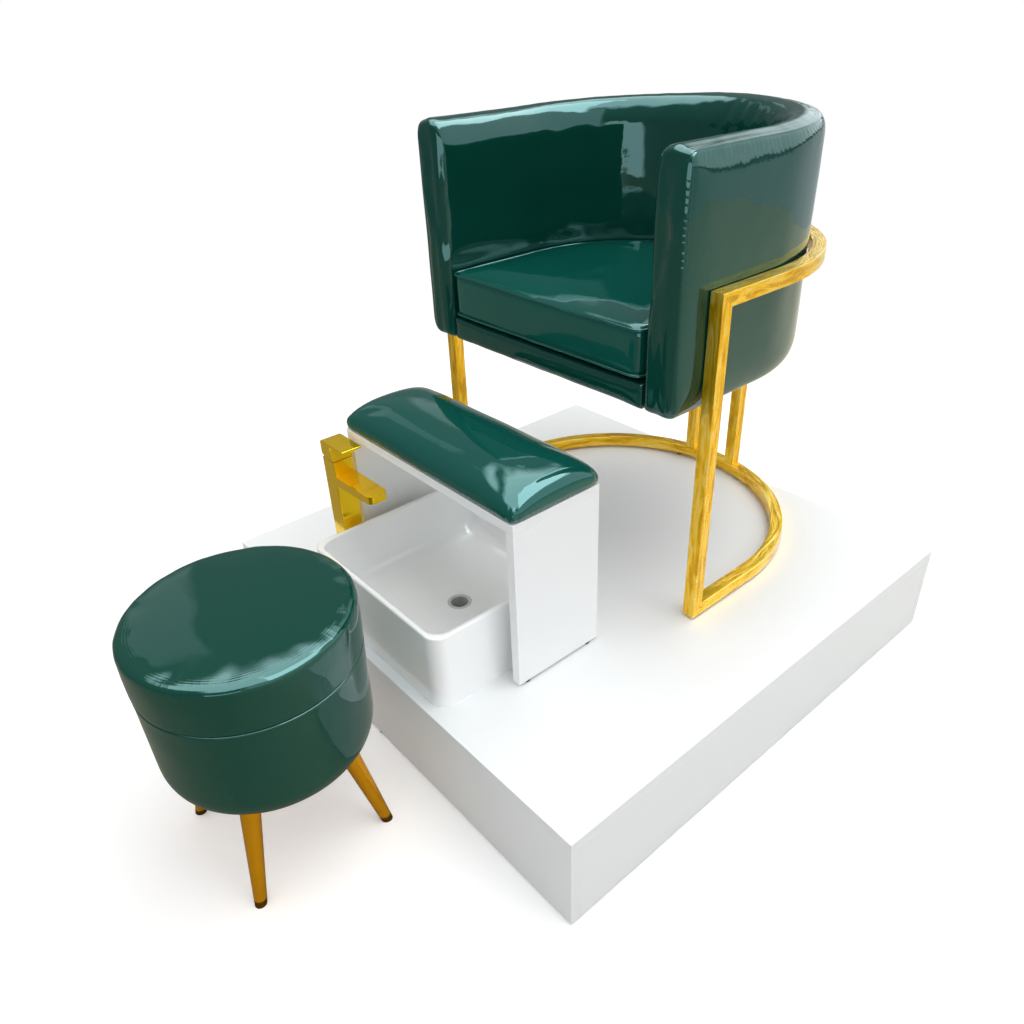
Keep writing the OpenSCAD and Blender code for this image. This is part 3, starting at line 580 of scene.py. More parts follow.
@cache
def grain() -> Tree:
    """Long wood grain: its colour and its height."""
    graph, given, fed = start_group(
        "grain", {"Vector": None, "Light": (0.7, 0.5, 0.3, 1.0), "Dark": (0.4, 0.25, 0.12, 1.0)},
        {"Colour": GREY, "Height": 0.0})
    long = graph.add("Mapping", {"Vector": given["Vector"], "Scale": (1.5, 22.0, 22.0)})
    lines = graph.noise(long.outputs["Vector"], 4.0, 6.0, 0.65)
    share = graph.span(lines, 0.35, 0.7, 0.0, 1.0)
    graph.feed(fed["Colour"], graph.mix(share, given["Light"], given["Dark"]))
    graph.feed(fed["Height"], lines)
    return graph.tree


@dataclass(frozen=True)
class Finish:
    """A plain finish of the object; other kinds change its colour and its relief."""

    name: str
    colour: Colour
    roughness: float = 0.4
    metallic: float = 0.0
    specular: float = 0.5
    specular_tint: Colour = (1.0, 1.0, 1.0)
    coat: float = 0.0
    coat_roughness: float = 0.03
    tone_scale: float = 3.0
    tone_amount: float = 0.05
    ripple_scale: float = 10.0
    ripple_depth: float = 0.0
    ripple_fine: float = 0.2
    handling: float = 0.06

    def material(self) -> bpy.types.Material:
        """The Blender material of this finish, which is made once."""
        found = bpy.data.materials.get(self.name)
        if found:
            return found
        material = bpy.data.materials.new(self.name)
        material.diffuse_color = (*self.colour, 1.0)
        graph = open_graph(material)
        where = graph.add("TexCoord").outputs["Object"]
        toned = graph.group(tone_drift(), {"Vector": where, "Colour": self.tone(graph, where),
                                           "Scale": self.tone_scale, "Amount": self.tone_amount})
        worn = graph.group(wear(), {"Vector": where, "Level": self.roughness, "Amount": self.handling})
        shader = graph.add("BsdfPrincipled", {
            "Base Color": toned["Colour"], "Roughness": worn["Roughness"], "Metallic": self.metallic,
            "Specular IOR Level": self.specular, "Specular Tint": self.specular_tint,
            "Coat Weight": self.coat, "Coat Roughness": self.coat_roughness})
        normal = self.relief(graph, where)
        if normal is not None:
            graph.feed(shader.inputs["Normal"], normal)
        graph.add("OutputMaterial", {"Surface": shader.outputs["BSDF"]})
        return material

    def tone(self, graph: Graph, where: Socket) -> object:
        """The colour before it drifts.

        Args:
            graph: the material's graph; not used here.
            where: Object coordinates; not used here.

        Returns:
            A colour or an output.
        """
        return self.colour

    def relief(self, graph: Graph, where: Socket) -> Socket | None:
        """The normal, here with slow waves only.

        Args:
            graph: the material's graph.
            where: Object coordinates.

        Returns:
            The normal's output, or None for a plain surface.
        """
        if self.ripple_depth == 0:
            return None
        waves = graph.group(ripple(), {
            "Vector": where, "Scale": self.ripple_scale, "Fine": self.ripple_fine})
        return graph.bump(waves["Height"], self.ripple_depth)


@dataclass(frozen=True)
class PatentLeather(Finish):
    """Glossy coated leather: waves of the foam, a fine pebble, and gathers along its seams."""

    roughness: float = 0.02
    specular: float = 0.7
    specular_tint: Colour = (0.60, 1.0, 1.0)
    tone_scale: float = 2.4
    tone_amount: float = 0.10
    ripple_scale: float = 9.0
    ripple_fine: float = 0.06
    handling: float = 0.03
    pebble_scale: float = 420.0
    pebble_depth: float = 0.000012
    gather_pitch: float = 0.0115
    gather_depth: float = 0.0006
    line_pitch: float = 0.0042
    line_depth: float = 0.00014

    def relief(self, graph: Graph, where: Socket) -> Socket:
        """Adds the pebble and the seams' lines and gathers to the waves."""
        pebble = graph.noise(where, self.pebble_scale, 1.0)
        normal = graph.bump(pebble, self.pebble_depth, super().relief(graph, where))
        normal = graph.bump(self.lines(graph), self.line_depth, normal)
        return graph.bump(self.gathers(graph, where), self.gather_depth, normal)

    def gathers(self, graph: Graph, where: Socket) -> Socket:
        """The height of short folds across a seam, where the cover is drawn in."""
        stray = graph.times(graph.noise(where, 40.0, 1.0), 7.0)
        run = graph.times(graph.attribute("seam_run"), FULL_TURN / self.gather_pitch)
        turn = graph.plus(run, stray)
        crest = graph.math("POWER", graph.times(graph.plus(graph.math("SINE", turn), 1.0), 0.5), 3.0)
        uneven = graph.span(graph.noise(where, 55.0, 1.0), 0.35, 0.65, 0.15, 1.0)
        return graph.times(crest, uneven, graph.attribute("seam_pull"))

    def lines(self, graph: Graph) -> Socket:
        """The height of fine ridges along a seam, over its turned-in edges."""
        turn = graph.times(graph.attribute("seam_away"), FULL_TURN / self.line_pitch)
        return graph.times(graph.math("SINE", turn), graph.attribute("seam_near"))


@dataclass(frozen=True)
class FilmedGold(Finish):
    """Gold plate still under its wrinkled clear film, whose creases run along the tube, with painted
    highlight and painted shade streaked along them.
    """

    roughness: float = 0.18
    metallic: float = 0.7
    tone_scale: float = 9.0
    tone_amount: float = 0.10
    ripple_scale: float = 26.0
    ripple_depth: float = 0.0010
    ripple_fine: float = 0.3
    handling: float = 0.08
    stretch: Place = (1.0, 1.0, 1.0)
    round_centre: Pair | None = None
    round_radius: float = 0.36
    # pale is a painted highlight and deep a painted shade, both streaked along the film's creases.
    pale: Colour = (1.0, 0.79, 0.25)
    deep: Colour = (0.60, 0.29, 0.006)
    crease_depth: float = 0.0011

    def creases(self, graph: Graph, where: Socket) -> Socket:
        """The film's streaks, from 0 to 1."""
        place = where if self.round_centre is None else self.unrolled(graph, where)
        film = graph.add("Mapping", {"Vector": place, "Scale": self.stretch}).outputs["Vector"]
        return graph.add("TexNoise", {"Vector": film, "Scale": 1.0, "Detail": 3.0, "Roughness": 0.55,
                                      "Distortion": 1.6}).outputs["Fac"]

    def tone(self, graph: Graph, where: Socket) -> object:
        """The gold with pale streaks of painted highlight and deep streaks of painted shade along the
        film's creases.
        """
        streaks = self.creases(graph, where)
        tone = graph.mix(graph.span(streaks, 0.50, 0.66, 0.0, 0.55), self.colour, self.pale)
        return graph.mix(graph.span(streaks, 0.50, 0.36, 0.0, 0.80), tone, self.deep)

    def relief(self, graph: Graph, where: Socket) -> Socket:
        """Adds the creases to the waves."""
        return graph.bump(self.creases(graph, where), self.crease_depth, super().relief(graph, where))

    def unrolled(self, graph: Graph, where: Socket) -> Socket:
        """Places as the distance from the chair's middle, the run round it and the height."""
        centred = graph.add("Mapping", {
            "Vector": where, "Location": (-self.round_centre[0], -self.round_centre[1], 0)})
        parts = graph.add("SeparateXYZ", {"Vector": centred.outputs["Vector"]}).outputs
        x, y = parts["X"], parts["Y"]
        radius = graph.math("SQRT", graph.plus(graph.times(x, x), graph.times(y, y)))
        run = graph.times(graph.math("ARCTAN2", x, y), self.round_radius)
        return graph.add("CombineXYZ", {"X": radius, "Y": run, "Z": parts["Z"]}).outputs["Vector"]


@dataclass(frozen=True)
class Timber(Finish):
    """Planed softwood and plywood, unpainted."""

    dark: Colour = (0.42, 0.25, 0.12)

    def wood(self, graph: Graph, where: Socket) -> dict[str, Socket]:
        """The grain's colour and height."""
        return graph.group(grain(), {"Vector": where, "Light": self.colour, "Dark": self.dark})

    def tone(self, graph: Graph, where: Socket) -> object:
        """The grain's colour."""
        return self.wood(graph, where)["Colour"]

    def relief(self, graph: Graph, where: Socket) -> Socket:
        """The grain's relief."""
        return graph.bump(self.wood(graph, where)["Height"], 0.0004, strength=0.5)


@dataclass(frozen=True)
class WovenCloth(Finish):
    """Thin black dust cloth with a plain weave."""

    threads: float = 900.0

    def weave(self, graph: Graph, where: Socket) -> Socket:
        """The height of threads that cross, from 0 to 1."""
        sockets = {"Vector": where, "Scale": self.threads}
        across, along = (graph.add("TexWave", sockets, bands_direction=way).outputs["Fac"]
                         for way in "XY")
        return graph.math("MAXIMUM", across, along)

    def tone(self, graph: Graph, where: Socket) -> object:
        """Lighter threads over the cloth's colour."""
        light = tuple(min(1.0, 2.2 * c) for c in self.colour)
        return graph.mix(self.weave(graph, where), self.colour, light)

    def relief(self, graph: Graph, where: Socket) -> Socket:
        """The weave's relief."""
        return graph.bump(self.weave(graph, where), 0.0003, strength=0.4)


# Lit and shaded copies of one green patent: the tub's is darker as painted shade, the seat's lighter as
# painted light, the stool's between them.
SHADED_TUB_PATENT = PatentLeather("green patent of the tub", (0.002, 0.042, 0.030),
                           ripple_scale=11.0, ripple_depth=0.0014)
LIT_SEAT_PATENT = PatentLeather("green patent of the seat", (0.003, 0.072, 0.056),
                            ripple_depth=0.0017, ripple_fine=0.08)
STOOL_PATENT = PatentLeather("green patent of the stool", (0.002, 0.050, 0.032), ripple_depth=0.0011)
LACQUER = Finish("white lacquered board", (0.87, 0.882, 0.89), roughness=0.45, specular=0.35,
                 tone_scale=1.8, tone_amount=0.02, ripple_scale=40.0, ripple_depth=0.0003)
CERAMIC = Finish("white glazed ceramic", (0.93, 0.94, 0.945), roughness=0.20, coat=0.5,
                 coat_roughness=0.08, tone_scale=5.0, tone_amount=0.02,
                 ripple_scale=16.0, ripple_depth=0.0009, ripple_fine=0.1, handling=0.03)
POST_GOLD = FilmedGold("filmed gold posts", (0.94, 0.55, 0.012), stretch=(60.0, 60.0, 9.0))
RING_GOLD = FilmedGold("filmed gold rings", (0.97, 0.58, 0.020), stretch=(60.0, 9.0, 60.0),
                       round_centre=CHAIR_CENTRE)
LEG_GOLD = Finish("gold plated legs", (0.86, 0.38, 0.003), roughness=0.16, metallic=0.7,
                  tone_scale=9.0, tone_amount=0.08, ripple_scale=24.0, ripple_depth=0.0006,
                  handling=0.08)
TAP_GOLD = Finish("polished tap gold", (1.0, 0.64, 0.010), roughness=0.07, metallic=0.75,
                  tone_scale=12.0, ripple_scale=30.0, ripple_depth=0.0004, handling=0.05)
CHROME = Finish("satin chrome", (0.62, 0.62, 0.61), roughness=0.18, metallic=1.0,
                tone_scale=30.0, tone_amount=0.08, handling=0.10)
TIP_BRONZE = Finish("dark bronze tips", (0.20, 0.10, 0.012), roughness=0.34, metallic=1.0,
                    tone_scale=40.0, tone_amount=0.1, handling=0.08)
WASTE_STEEL = Finish("pale brushed steel", (0.60, 0.60, 0.59), roughness=0.38, metallic=0.35,
                     tone_scale=30.0, tone_amount=0.06, handling=0.10)
RUBBER = Finish("black rubber", (0.018, 0.018, 0.019), roughness=0.62, tone_scale=40.0,
                tone_amount=0.2, ripple_scale=300.0, ripple_depth=0.0002, handling=0.1)
WHITE_PLASTIC = Finish("white moulded plastic", (0.80, 0.80, 0.79), roughness=0.38,
                       tone_scale=6.0, tone_amount=0.03, ripple_scale=220.0, ripple_depth=0.0001)
COPPER = Finish("copper tube", (0.82, 0.42, 0.25), roughness=0.25, metallic=1.0,
                tone_scale=22.0, tone_amount=0.15, handling=0.12)
PLAIN_WOOD = Timber("planed pine", (0.72, 0.52, 0.32), roughness=0.62, tone_scale=2.0,
                    tone_amount=0.10)
DUST_CLOTH = WovenCloth("black dust cloth", (0.016, 0.016, 0.018), roughness=0.85,
                        tone_scale=12.0, tone_amount=0.15)


def keep(finish: Finish, *nodes: str, ease: Ease = Ease.SMALL) -> None:
    """Keeps CAD nodes, with eased edges and a finish.

    Args:
        finish: what they are finished with.
        nodes: the nodes' names.
        ease: how wide their edges are eased.
    """
    for node in nodes:
        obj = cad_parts[node]
        for slot in obj.material_slots:
            slot.material = finish.material()
        if not obj.material_slots:
            obj.data.materials.append(finish.material())
        add_modifier(obj, "joined faces", "WELD", merge_threshold=WELD)
        add_modifier(obj, "flat faces", "DECIMATE", decimate_type="DISSOLVE", angle_limit=FLAT_ANGLE)
        add_modifier(obj, "eased edges", "BEVEL", width=ease.value, limit_method="ANGLE",
                     segments=3 if ease is Ease.TUBE else 2, angle_limit=EASED_ANGLE,
                     use_clamp_overlap=True)
        add_modifier(obj, "clean shading", "WEIGHTED_NORMAL", weight=60, keep_sharp=False)
        log.info("%s: kept, %s", node, finish.name)


def finish_piece(obj: Piece, body: str, finish: Finish,
                 nodes: Sequence[str] = ()) -> None:
    """Dresses a new piece and ties it to its body.

    Args:
        obj: the piece.
        body: the CAD body that it rides on.
        finish: its finish.
        nodes: the CAD nodes that it stands for.
    """
    obj.data.materials.clear()
    obj.data.materials.append(finish.material())
    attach(obj, body)
    if nodes:
        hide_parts(*nodes)
    log.info("%s: %d faces on %s", obj.name, len(obj.data.polygons), body)


# Sub-assemblies


@dataclass
class Platform:
    """White boards with their hidden timber, and the glides under them."""

    boards: tuple[str, ...] = ("deck_board", "front_panel", "back_panel", "left_panel", "right_panel")
    timber: tuple[str, ...] = ("cross_bearers", "corner_blocks")

    def build(self) -> None:
        """Dresses the platform's CAD nodes."""
        keep(LACQUER, *self.boards, ease=Ease.BOARD)
        keep(PLAIN_WOOD, *self.timber)
        keep(RUBBER, "platform_glides")


@dataclass
class Basin:
    """Ceramic basin with soft rims, and the waste and trap under it."""

    rim_top: float = 0.344
    rim_round: float = 0.0042
    rim_steps: int = 5
    steel: tuple[str, ...] = ("waste_body", "waste_nut")
    plastic: tuple[str, ...] = ("bottle_trap", "trap_cup", "waste_pipe", "waste_socket")

    def build(self) -> None:
        """Rounds a copy of the CAD basin and dresses the waste."""
        self.build_bowl()
        keep(WASTE_STEEL, *self.steel)
        keep(WHITE_PLASTIC, *self.plastic)
        keep(RUBBER, "waste_seal")

    def build_bowl(self) -> None:
        """Copies the CAD basin, rounds its rim and smooths it."""
        obj = new_object("ceramic_basin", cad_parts["basin"].data.copy())
        with editing(obj):
            bpy.ops.mesh.customdata_custom_splitnormals_clear()
            pick_all()
            bpy.ops.mesh.remove_doubles(threshold=WELD)
            bpy.ops.mesh.dissolve_limited(angle_limit=math.radians(0.5))
            pick_edges(obj, self.on_rim)
            bpy.ops.mesh.bevel(offset=self.rim_round, segments=self.rim_steps, profile=0.5,
                               affect="EDGES", clamp_overlap=False)
        smooth(obj, 40)
        finish_piece(obj, "station", CERAMIC, ["basin"])

    def on_rim(self, edge: bmesh.types.BMEdge) -> bool:
        """Tells whether an edge is a sharp one of the rim."""
        high = all(v.co.z > self.rim_top - CLOSE for v in edge.verts)
        return high and edge.calc_face_angle(0.0) > SHARP_ANGLE


@dataclass
class Tap:
    """Square gold mixer tap with its fixings and hot and cold tails."""

    gold: tuple[str, ...] = ("tap_body", "tap_handle", "tap_turret", "tap_stem")
    hidden: tuple[str, ...] = ("tap_cartridge", "tap_retaining_ring", "tap_stud", "tap_clamp_washer",
                               "tap_clamp_nut", "cold_coupling", "hot_coupling")

    def build(self) -> None:
        """Dresses the tap's CAD nodes."""
        keep(TAP_GOLD, *self.gold, ease=Ease.TAP)
        keep(TAP_GOLD, *self.hidden)
        keep(COPPER, "cold_tail", "hot_tail")
        keep(RUBBER, "tap_gasket")
        keep(CHROME, "tap_aerator")


@dataclass
class Footrest:
    """White bridge over the basin with its domed pad."""

    centre: Pair = (0.003, -0.2835)
    half: Pair = (0.254, 0.1025)
    low: float = 0.529
    high: float = 0.590
    corner: float = 0.013
    start_in: float = 0.002
    upright: float = 0.01
    edge: Pair = (0.013, 0.007)
    arch_across: Pair = (2.6, 0.62)
    arch_along: Pair = (11, 0.70)
    top_in: float = 0.003
    foot_in: Pair = (0.016, 2.4)
    ends_in: float = 0.24
    stapled: Pair = (0.006, 0.024)
    boards: tuple[str, ...] = ("footrest_left_panel", "footrest_right_panel", "footrest_board")
    folds: tuple[Pair, ...] = ((22, 0.0016), (48, 0.0020), (70, 0.0013))
    folds_in: Pair = (0.030, 0.026)
    folds_from: Pair = (0.012, 0.026)
    fold_width: float = 0.0022
    waves: Place = (0.0012, 9, 3.1)
    swelling: Swelling = Swelling(cap=0.004, voxel=0.005)

    def build(self) -> None:
        """Dresses the bridge and builds the pad."""
        keep(LACQUER, *self.boards, ease=Ease.BOARD)
        keep(RUBBER, "footrest_feet")
        self.build_pad()

    def build_pad(self) -> None:
        """Domes a rounded block, swells it and folds its corners."""
        hx, hy = (h - self.start_in for h in self.half)
        obj = block("patent_footrest_pad", (*self.centre, (self.low + self.high) / 2),
                    (hx, hy, (self.high - self.low) / 2))
        with editing(obj):
            pick_edges(obj, lambda edge: abs(edge.verts[0].co.z - edge.verts[1].co.z) > self.upright)
            bpy.ops.mesh.bevel(offset=self.corner, segments=6, affect="EDGES")
            pick_all()
            bpy.ops.mesh.subdivide(number_cuts=3)
        apply(obj, "REMESH", mode="VOXEL", voxel_size=FIRST_VOXEL)
        self.dome(obj)
        self.swelling.run(obj, self.held)
        self.fold_corners(obj)
        smooth(obj)
        finish_piece(obj, "footrest", LIT_SEAT_PATENT, ["footrest_pad"])

    def dome(self, obj: Piece) -> None:
        """Lowers the block's top to a dome with steep drawn-in ends."""
        cx, cy = self.centre
        points = points_of(obj)
        u = np.abs(points[:, 0] - cx) / self.half[0]
        v = np.abs(points[:, 1] - cy) / self.half[1]
        rise = arch(v, *self.arch_across) * arch(u, *self.arch_along)
        edge = self.edge[0] + self.edge[1] * (1 - v ** 4)
        top = self.low + edge + (self.high - self.low - edge - self.top_in) * rise
        share = (points[:, 2] - self.low) / (self.high - self.low)
        points[:, 2] = self.low + (top - self.low) * share
        foot_in, foot_fade = self.foot_in
        inwards = 1 - foot_in * np.clip(1 - share * foot_fade, 0, 1) ** 2
        points[:, 0] = cx + (points[:, 0] - cx) * (1 - self.ends_in * (1 - inwards))
        points[:, 1] = cy + (points[:, 1] - cy) * inwards
        move_points(obj, points)

    def held(self, points: Array) -> Array:
        """Holds the pad's flat underside and the stapled edge above it."""
        return 1 - ease_steps(points[:, 2] - self.low, *self.stapled)

    def fold_corners(self, obj: Piece) -> None:
        """Presses short folds into each corner, where the cover is gathered."""
        points = points_of(obj)
        height = points[:, 2]
        shift = np.zeros(len(points))
        for sides in ((-1, -1), (-1, 1), (1, -1), (1, 1)):
            roots = [middle + side * (half - inwards) for middle, side, half, inwards
                     in zip(self.centre, sides, self.half, self.folds_in)]
            dx, dy = ((points[:, k] - roots[k]) * sides[k] for k in (0, 1))
            away = np.hypot(dx, dy)
            angle = np.degrees(np.arctan2(dy, dx))
            for turn, depth in self.folds:
                line = band(np.radians(angle - turn) * away, 0, self.fold_width)
                shift -= depth * line * ease_steps(away, *self.folds_from) * (height > self.low + 0.004)
        shift += waves(points, self.waves) * ease_steps(height, self.low + 0.01, self.low + 0.03)
        push(obj, shift)


@dataclass
class ChairFrame:
    """Gold square-tube frame: floor ring, rail, posts and pads."""

    rings: tuple[str, ...] = ("floor_ring", "top_rail")
    posts: tuple[str, ...] = ("left_front_post", "right_front_post",
                              "left_rear_post", "right_rear_post")

    def build(self) -> None:
        """Dresses the frame's CAD nodes."""
        keep(RING_GOLD, *self.rings, ease=Ease.TUBE)
        keep(POST_GOLD, *self.posts, ease=Ease.TUBE)
        keep(RUBBER, "ring_pads", "shell_spacers")


@dataclass
class Tub:
    """Arms and back in one padded wall, with the seat's box and front rail."""

    centre: Pair = CHAIR_CENTRE
    outer_r: float = 0.339
    wall: float = 0.077
    reach: float = 0.243
    low: float = 0.616
    arm_top: float = 1.041
    back_rise: float = 0.009
    low_round: Pair = (0.024, 0.040)
    inner_low_round: float = 0.010
    top_round: Pair = (0.024, 0.034)
    inner_top_round: Pair = (0.024, 0.060)
    crown: float = 0.004
    end_round: float = 0.019
    start_in: float = 0.0015
    outer_seam: float = 0.030
    seam_depth: float = 0.0007
    seam_width: float = 0.0026
    seam_hold: float = 0.0035
    inner_ridge: Pair = (-0.0145, 0.0007)
    ridge_width: float = 0.004
    fold_depth: float = 0.0016
    fold_rate: float = 150
    folds_at: Pair = (0.42, 0.10)
    folds_height: Pair = (0.94, 0.99)
    slack_depth: float = 0.0008
    slack_rate: float = 210
    waves: tuple[Place, ...] = ((0.0013, 4.5, 1.7), (0.0005, 13, 5.3))
    rim_waves: Place = (0.0005, 45, 3.9)
    foot_inside: Pair = (0.14, 0.19)
    shoulder_fade: float = 0.016
    tick_width: float = 0.0035
    line_fade: float = 0.007
    rows: int = 30
    arm_steps: int = 13
    back_steps: int = 66
    rail_front: float = 0.005
    rail_depth: float = 0.046
    rail_z: Pair = (0.6165, 0.664)
    rail_rounds: Pair = (0.010, 0.007)
    rail_gap: float = 0.0008
    rail_in: float = 0.002
    rail_cuts: tuple[int, ...] = (72, 4, 5)
    rail_waves: tuple[Place, ...] = ((0.0014, 7, 2.3), (0.0008, 24, 6.1))
    swelling: Swelling = Swelling(cap=0.0032, voxel=0.0, relax=1, pressure=3.0)
    rail_swelling: Swelling = Swelling(cap=0.003, voxel=0.0, relax=2)

    @property
    def half(self) -> float:
        """Half the wall's thickness."""
        return self.wall / 2

    @property
    def mid_r(self) -> float:
        """Radius of the wall's middle."""
        return self.outer_r - self.half

    def build(self) -> None:
        """Builds the shell and the rail, and dresses the seat's box."""
        self.build_shell()
        self.build_rail()
        keep(PLAIN_WOOD, "seat_frame", "seat_deck")
        keep(DUST_CLOTH, "bottom_cover")

    def outline(self, inset: float) -> dict[str, Array]:
        """The wall's section, drawn in by an inset.

        Args:
            inset: how far it is drawn in.

        Returns:
            The offset and height of the points along its top and underside from the
            outer to the inner face, and up each face.
        """
        inset += self.start_in
        half, low, high = self.half - inset, self.low + inset, self.arm_top - inset
        wide, drop = (max(r - inset, r / 4) for r in self.top_round)
        back_wide, back_drop = (max(r - inset, r / 4) for r in self.inner_top_round)
        in_r = max(self.inner_low_round - inset, self.inner_low_round / 4)
        low_r, rise = (max(r - inset, r / 4) for r in self.low_round)
        start, end = half - wide, back_wide - half
        upper = [(start + wide * math.cos(a), high - drop + drop * math.sin(a))
                 for a in np.radians((0, 12, 24, 34, 41, 45, 48, 50.5, 53, 57, 62, 69, 78, 90))]
        upper += [(start + (end - start) * t, high + self.crown * 4 * t * (1 - t))
                  for t in (0.17, 0.34, 0.5, 0.66, 0.83, 1.0)]
        upper += [(end - back_wide * math.sin(a), high - back_drop + back_drop * math.cos(a))
                  for a in np.radians((10, 22, 34, 46, 58, 69, 80, 90))]
        pivot = half - low_r
        lower = []
        for o, _ in upper:
            across = max(0.0, min(1.0, (o - pivot) / low_r))
            inner = max(0.0, min(1.0, (-(half - in_r) - o) / in_r))
            lower.append((o, low + rise * (1 - math.sqrt(1 - across * across))
                          + in_r * (1 - math.sqrt(1 - inner * inner))))
        upper, lower = np.array(upper), np.array(lower)
        shares = np.linspace(0, 1, self.rows)[:, None]
        outer = lower[0] + (upper[0] - lower[0]) * shares
        inner = lower[-1] + (upper[-1] - lower[-1]) * shares
        return {"upper": upper, "lower": lower, "outer": outer, "inner": inner}

    def section(self, inset: float) -> Array:
        """The whole section as a grid of offsets and heights that follows its four sides."""
        up, lo, out, inn = (self.outline(inset)[k] for k in ("upper", "lower", "outer", "inner"))
        u = np.linspace(0, 1, len(up))[:, None, None]
        v = np.linspace(0, 1, len(out))[None, :, None]
        return ((1 - v) * lo[:, None] + v * up[:, None] + (1 - u) * out[None] + u * inn[None]
                - (1 - u) * (1 - v) * lo[0] - u * (1 - v) * lo[-1]
                - (1 - u) * v * up[0] - u * v * up[-1])

    def start_section(self) -> Piece:
        """Adds a grid that is to be the wall's section, and numbers its points.

        Returns:
            The grid, with a column and a row for each point.
        """
        columns, rows = self.section(0.0).shape[:2]
        obj = new_primitive("patent_tub", bpy.ops.mesh.primitive_grid_add,
                            x_subdivisions=columns - 1, y_subdivisions=rows - 1, size=2.0)
        points = points_of(obj)
        for name, axis, count in (("column", 0, columns), ("row", 1, rows)):
            numbers = np.rint((points[:, axis] + 1) / 2 * (count - 1)).astype(np.int32)
            obj.data.attributes.new(name, "INT", "POINT").data.foreach_set("value", numbers)
        return obj

    def set_section(self, obj: Piece, side: Side, y: float, inset: float) -> None:
        """Puts the selected section at a place along an arm.

        Args:
            obj: the shell in edit mode.
            side: which arm.
            y: the place along it, from the chair's middle.
            inset: how far the section is drawn in.
        """
        grid = self.section(inset)
        mesh = bmesh.from_edit_mesh(obj.data)
        column, row = (mesh.verts.layers.int[key] for key in ("column", "row"))
        for vertex in mesh.verts:
            if vertex.select:
                offset, height = grid[vertex[column], vertex[row]]
                across = side.value * (self.mid_r + offset)
                vertex.co = (self.centre[0] + across, self.centre[1] + y, height)
        bmesh.update_edit_mesh(obj.data)

    def arm_places(self) -> list[Pair]:
        """Places along an arm from its front to its root, with their insets."""
        end = self.end_round
        places = [(-self.reach + end * (1 - math.cos(a)), end * (1 - math.sin(a)))
                  for a in np.radians(np.linspace(0, 90, 11))]
        return places + [(y, 0.0) for y in np.linspace(-self.reach + end, 0, self.arm_steps + 1)[1:]]

    def build_shell(self) -> None:
        """Extrudes one arm, spins the back, extrudes the other arm and swells the whole."""
        obj = self.start_section()
        places = self.arm_places()
        step = {"value": (0, 0.001, 0)}
        with editing(obj):
            pick_all()
            self.set_section(obj, Side.LEFT, *places[0])
            for place in places[1:]:
                bpy.ops.mesh.extrude_region_move(TRANSFORM_OT_translate=step)
                self.set_section(obj, Side.LEFT, *place)
            bpy.ops.mesh.spin(steps=self.back_steps, angle=math.pi, center=(*self.centre, 0),
                              axis=(0, 0, 1))
            for place in places[-2::-1]:
                bpy.ops.mesh.extrude_region_move(TRANSFORM_OT_translate=step)
                self.set_section(obj, Side.RIGHT, *place)
        face_outwards(obj)
        self.raise_back(obj)
        self.swelling.run(obj, self.held)
        self.press_seams(obj)
        smooth(obj)
        finish_piece(obj, "station", SHADED_TUB_PATENT, ["tub_shell"])

    def raise_back(self, obj: Piece) -> None:
        """Lifts the wall's top a little towards the middle of the back."""
        points = points_of(obj)
        x, y = points[:, 0] - self.centre[0], np.maximum(points[:, 1] - self.centre[1], 0)
        share = np.clip((points[:, 2] - self.low) / (self.arm_top - self.low), 0, 1)
        points[:, 2] += self.back_rise * y / np.maximum(np.hypot(x, y), 1e-6) * share
        move_points(obj, points)

    def wall_places(self, points: Array) -> tuple[Array, Array]:
        """Where each point lies on the wall.

        Args:
            points: the shell's vertices.

        Returns:
            The offset from the wall's middle, outwards, and the run along the wall
            from the right arm's root, negative on the right arm.
        """
        x, y = points[:, 0] - self.centre[0], points[:, 1] - self.centre[1]
        offset = np.where(y > 0, np.hypot(x, y), np.abs(x)) - self.mid_r
        turn = np.arctan2(np.maximum(y, 0), x)
        run = np.where(y > 0, turn * self.mid_r, np.where(x > 0, y, math.pi * self.mid_r - y))
        return offset, run

    def front_share(self, points: Array) -> Array:
        """How much a point lies on the arms' front faces, from 0 to 1."""
        return ease_steps(self.centre[1] - self.reach + self.end_round - points[:, 1], 0.004, 0.013)

    def held(self, points: Array) -> Array:
        """Holds the two seams, the underside and the wall's foot inside the seat."""
        offset, _ = self.wall_places(points)
        top = ease_steps(points[:, 2], self.arm_top - 0.030, self.arm_top - 0.012)
        edge = np.maximum(top, self.front_share(points))
        seams = band(offset, self.outer_seam, self.seam_hold) * edge
        foot = 1 - ease_steps(points[:, 2], self.low + 0.004, self.low + 0.03)
        inside = (offset < -0.02) * (1 - ease_steps(points[:, 2] - self.low, *self.foot_inside))
        return np.clip(np.maximum(np.maximum(seams, foot), inside), 0, 1)

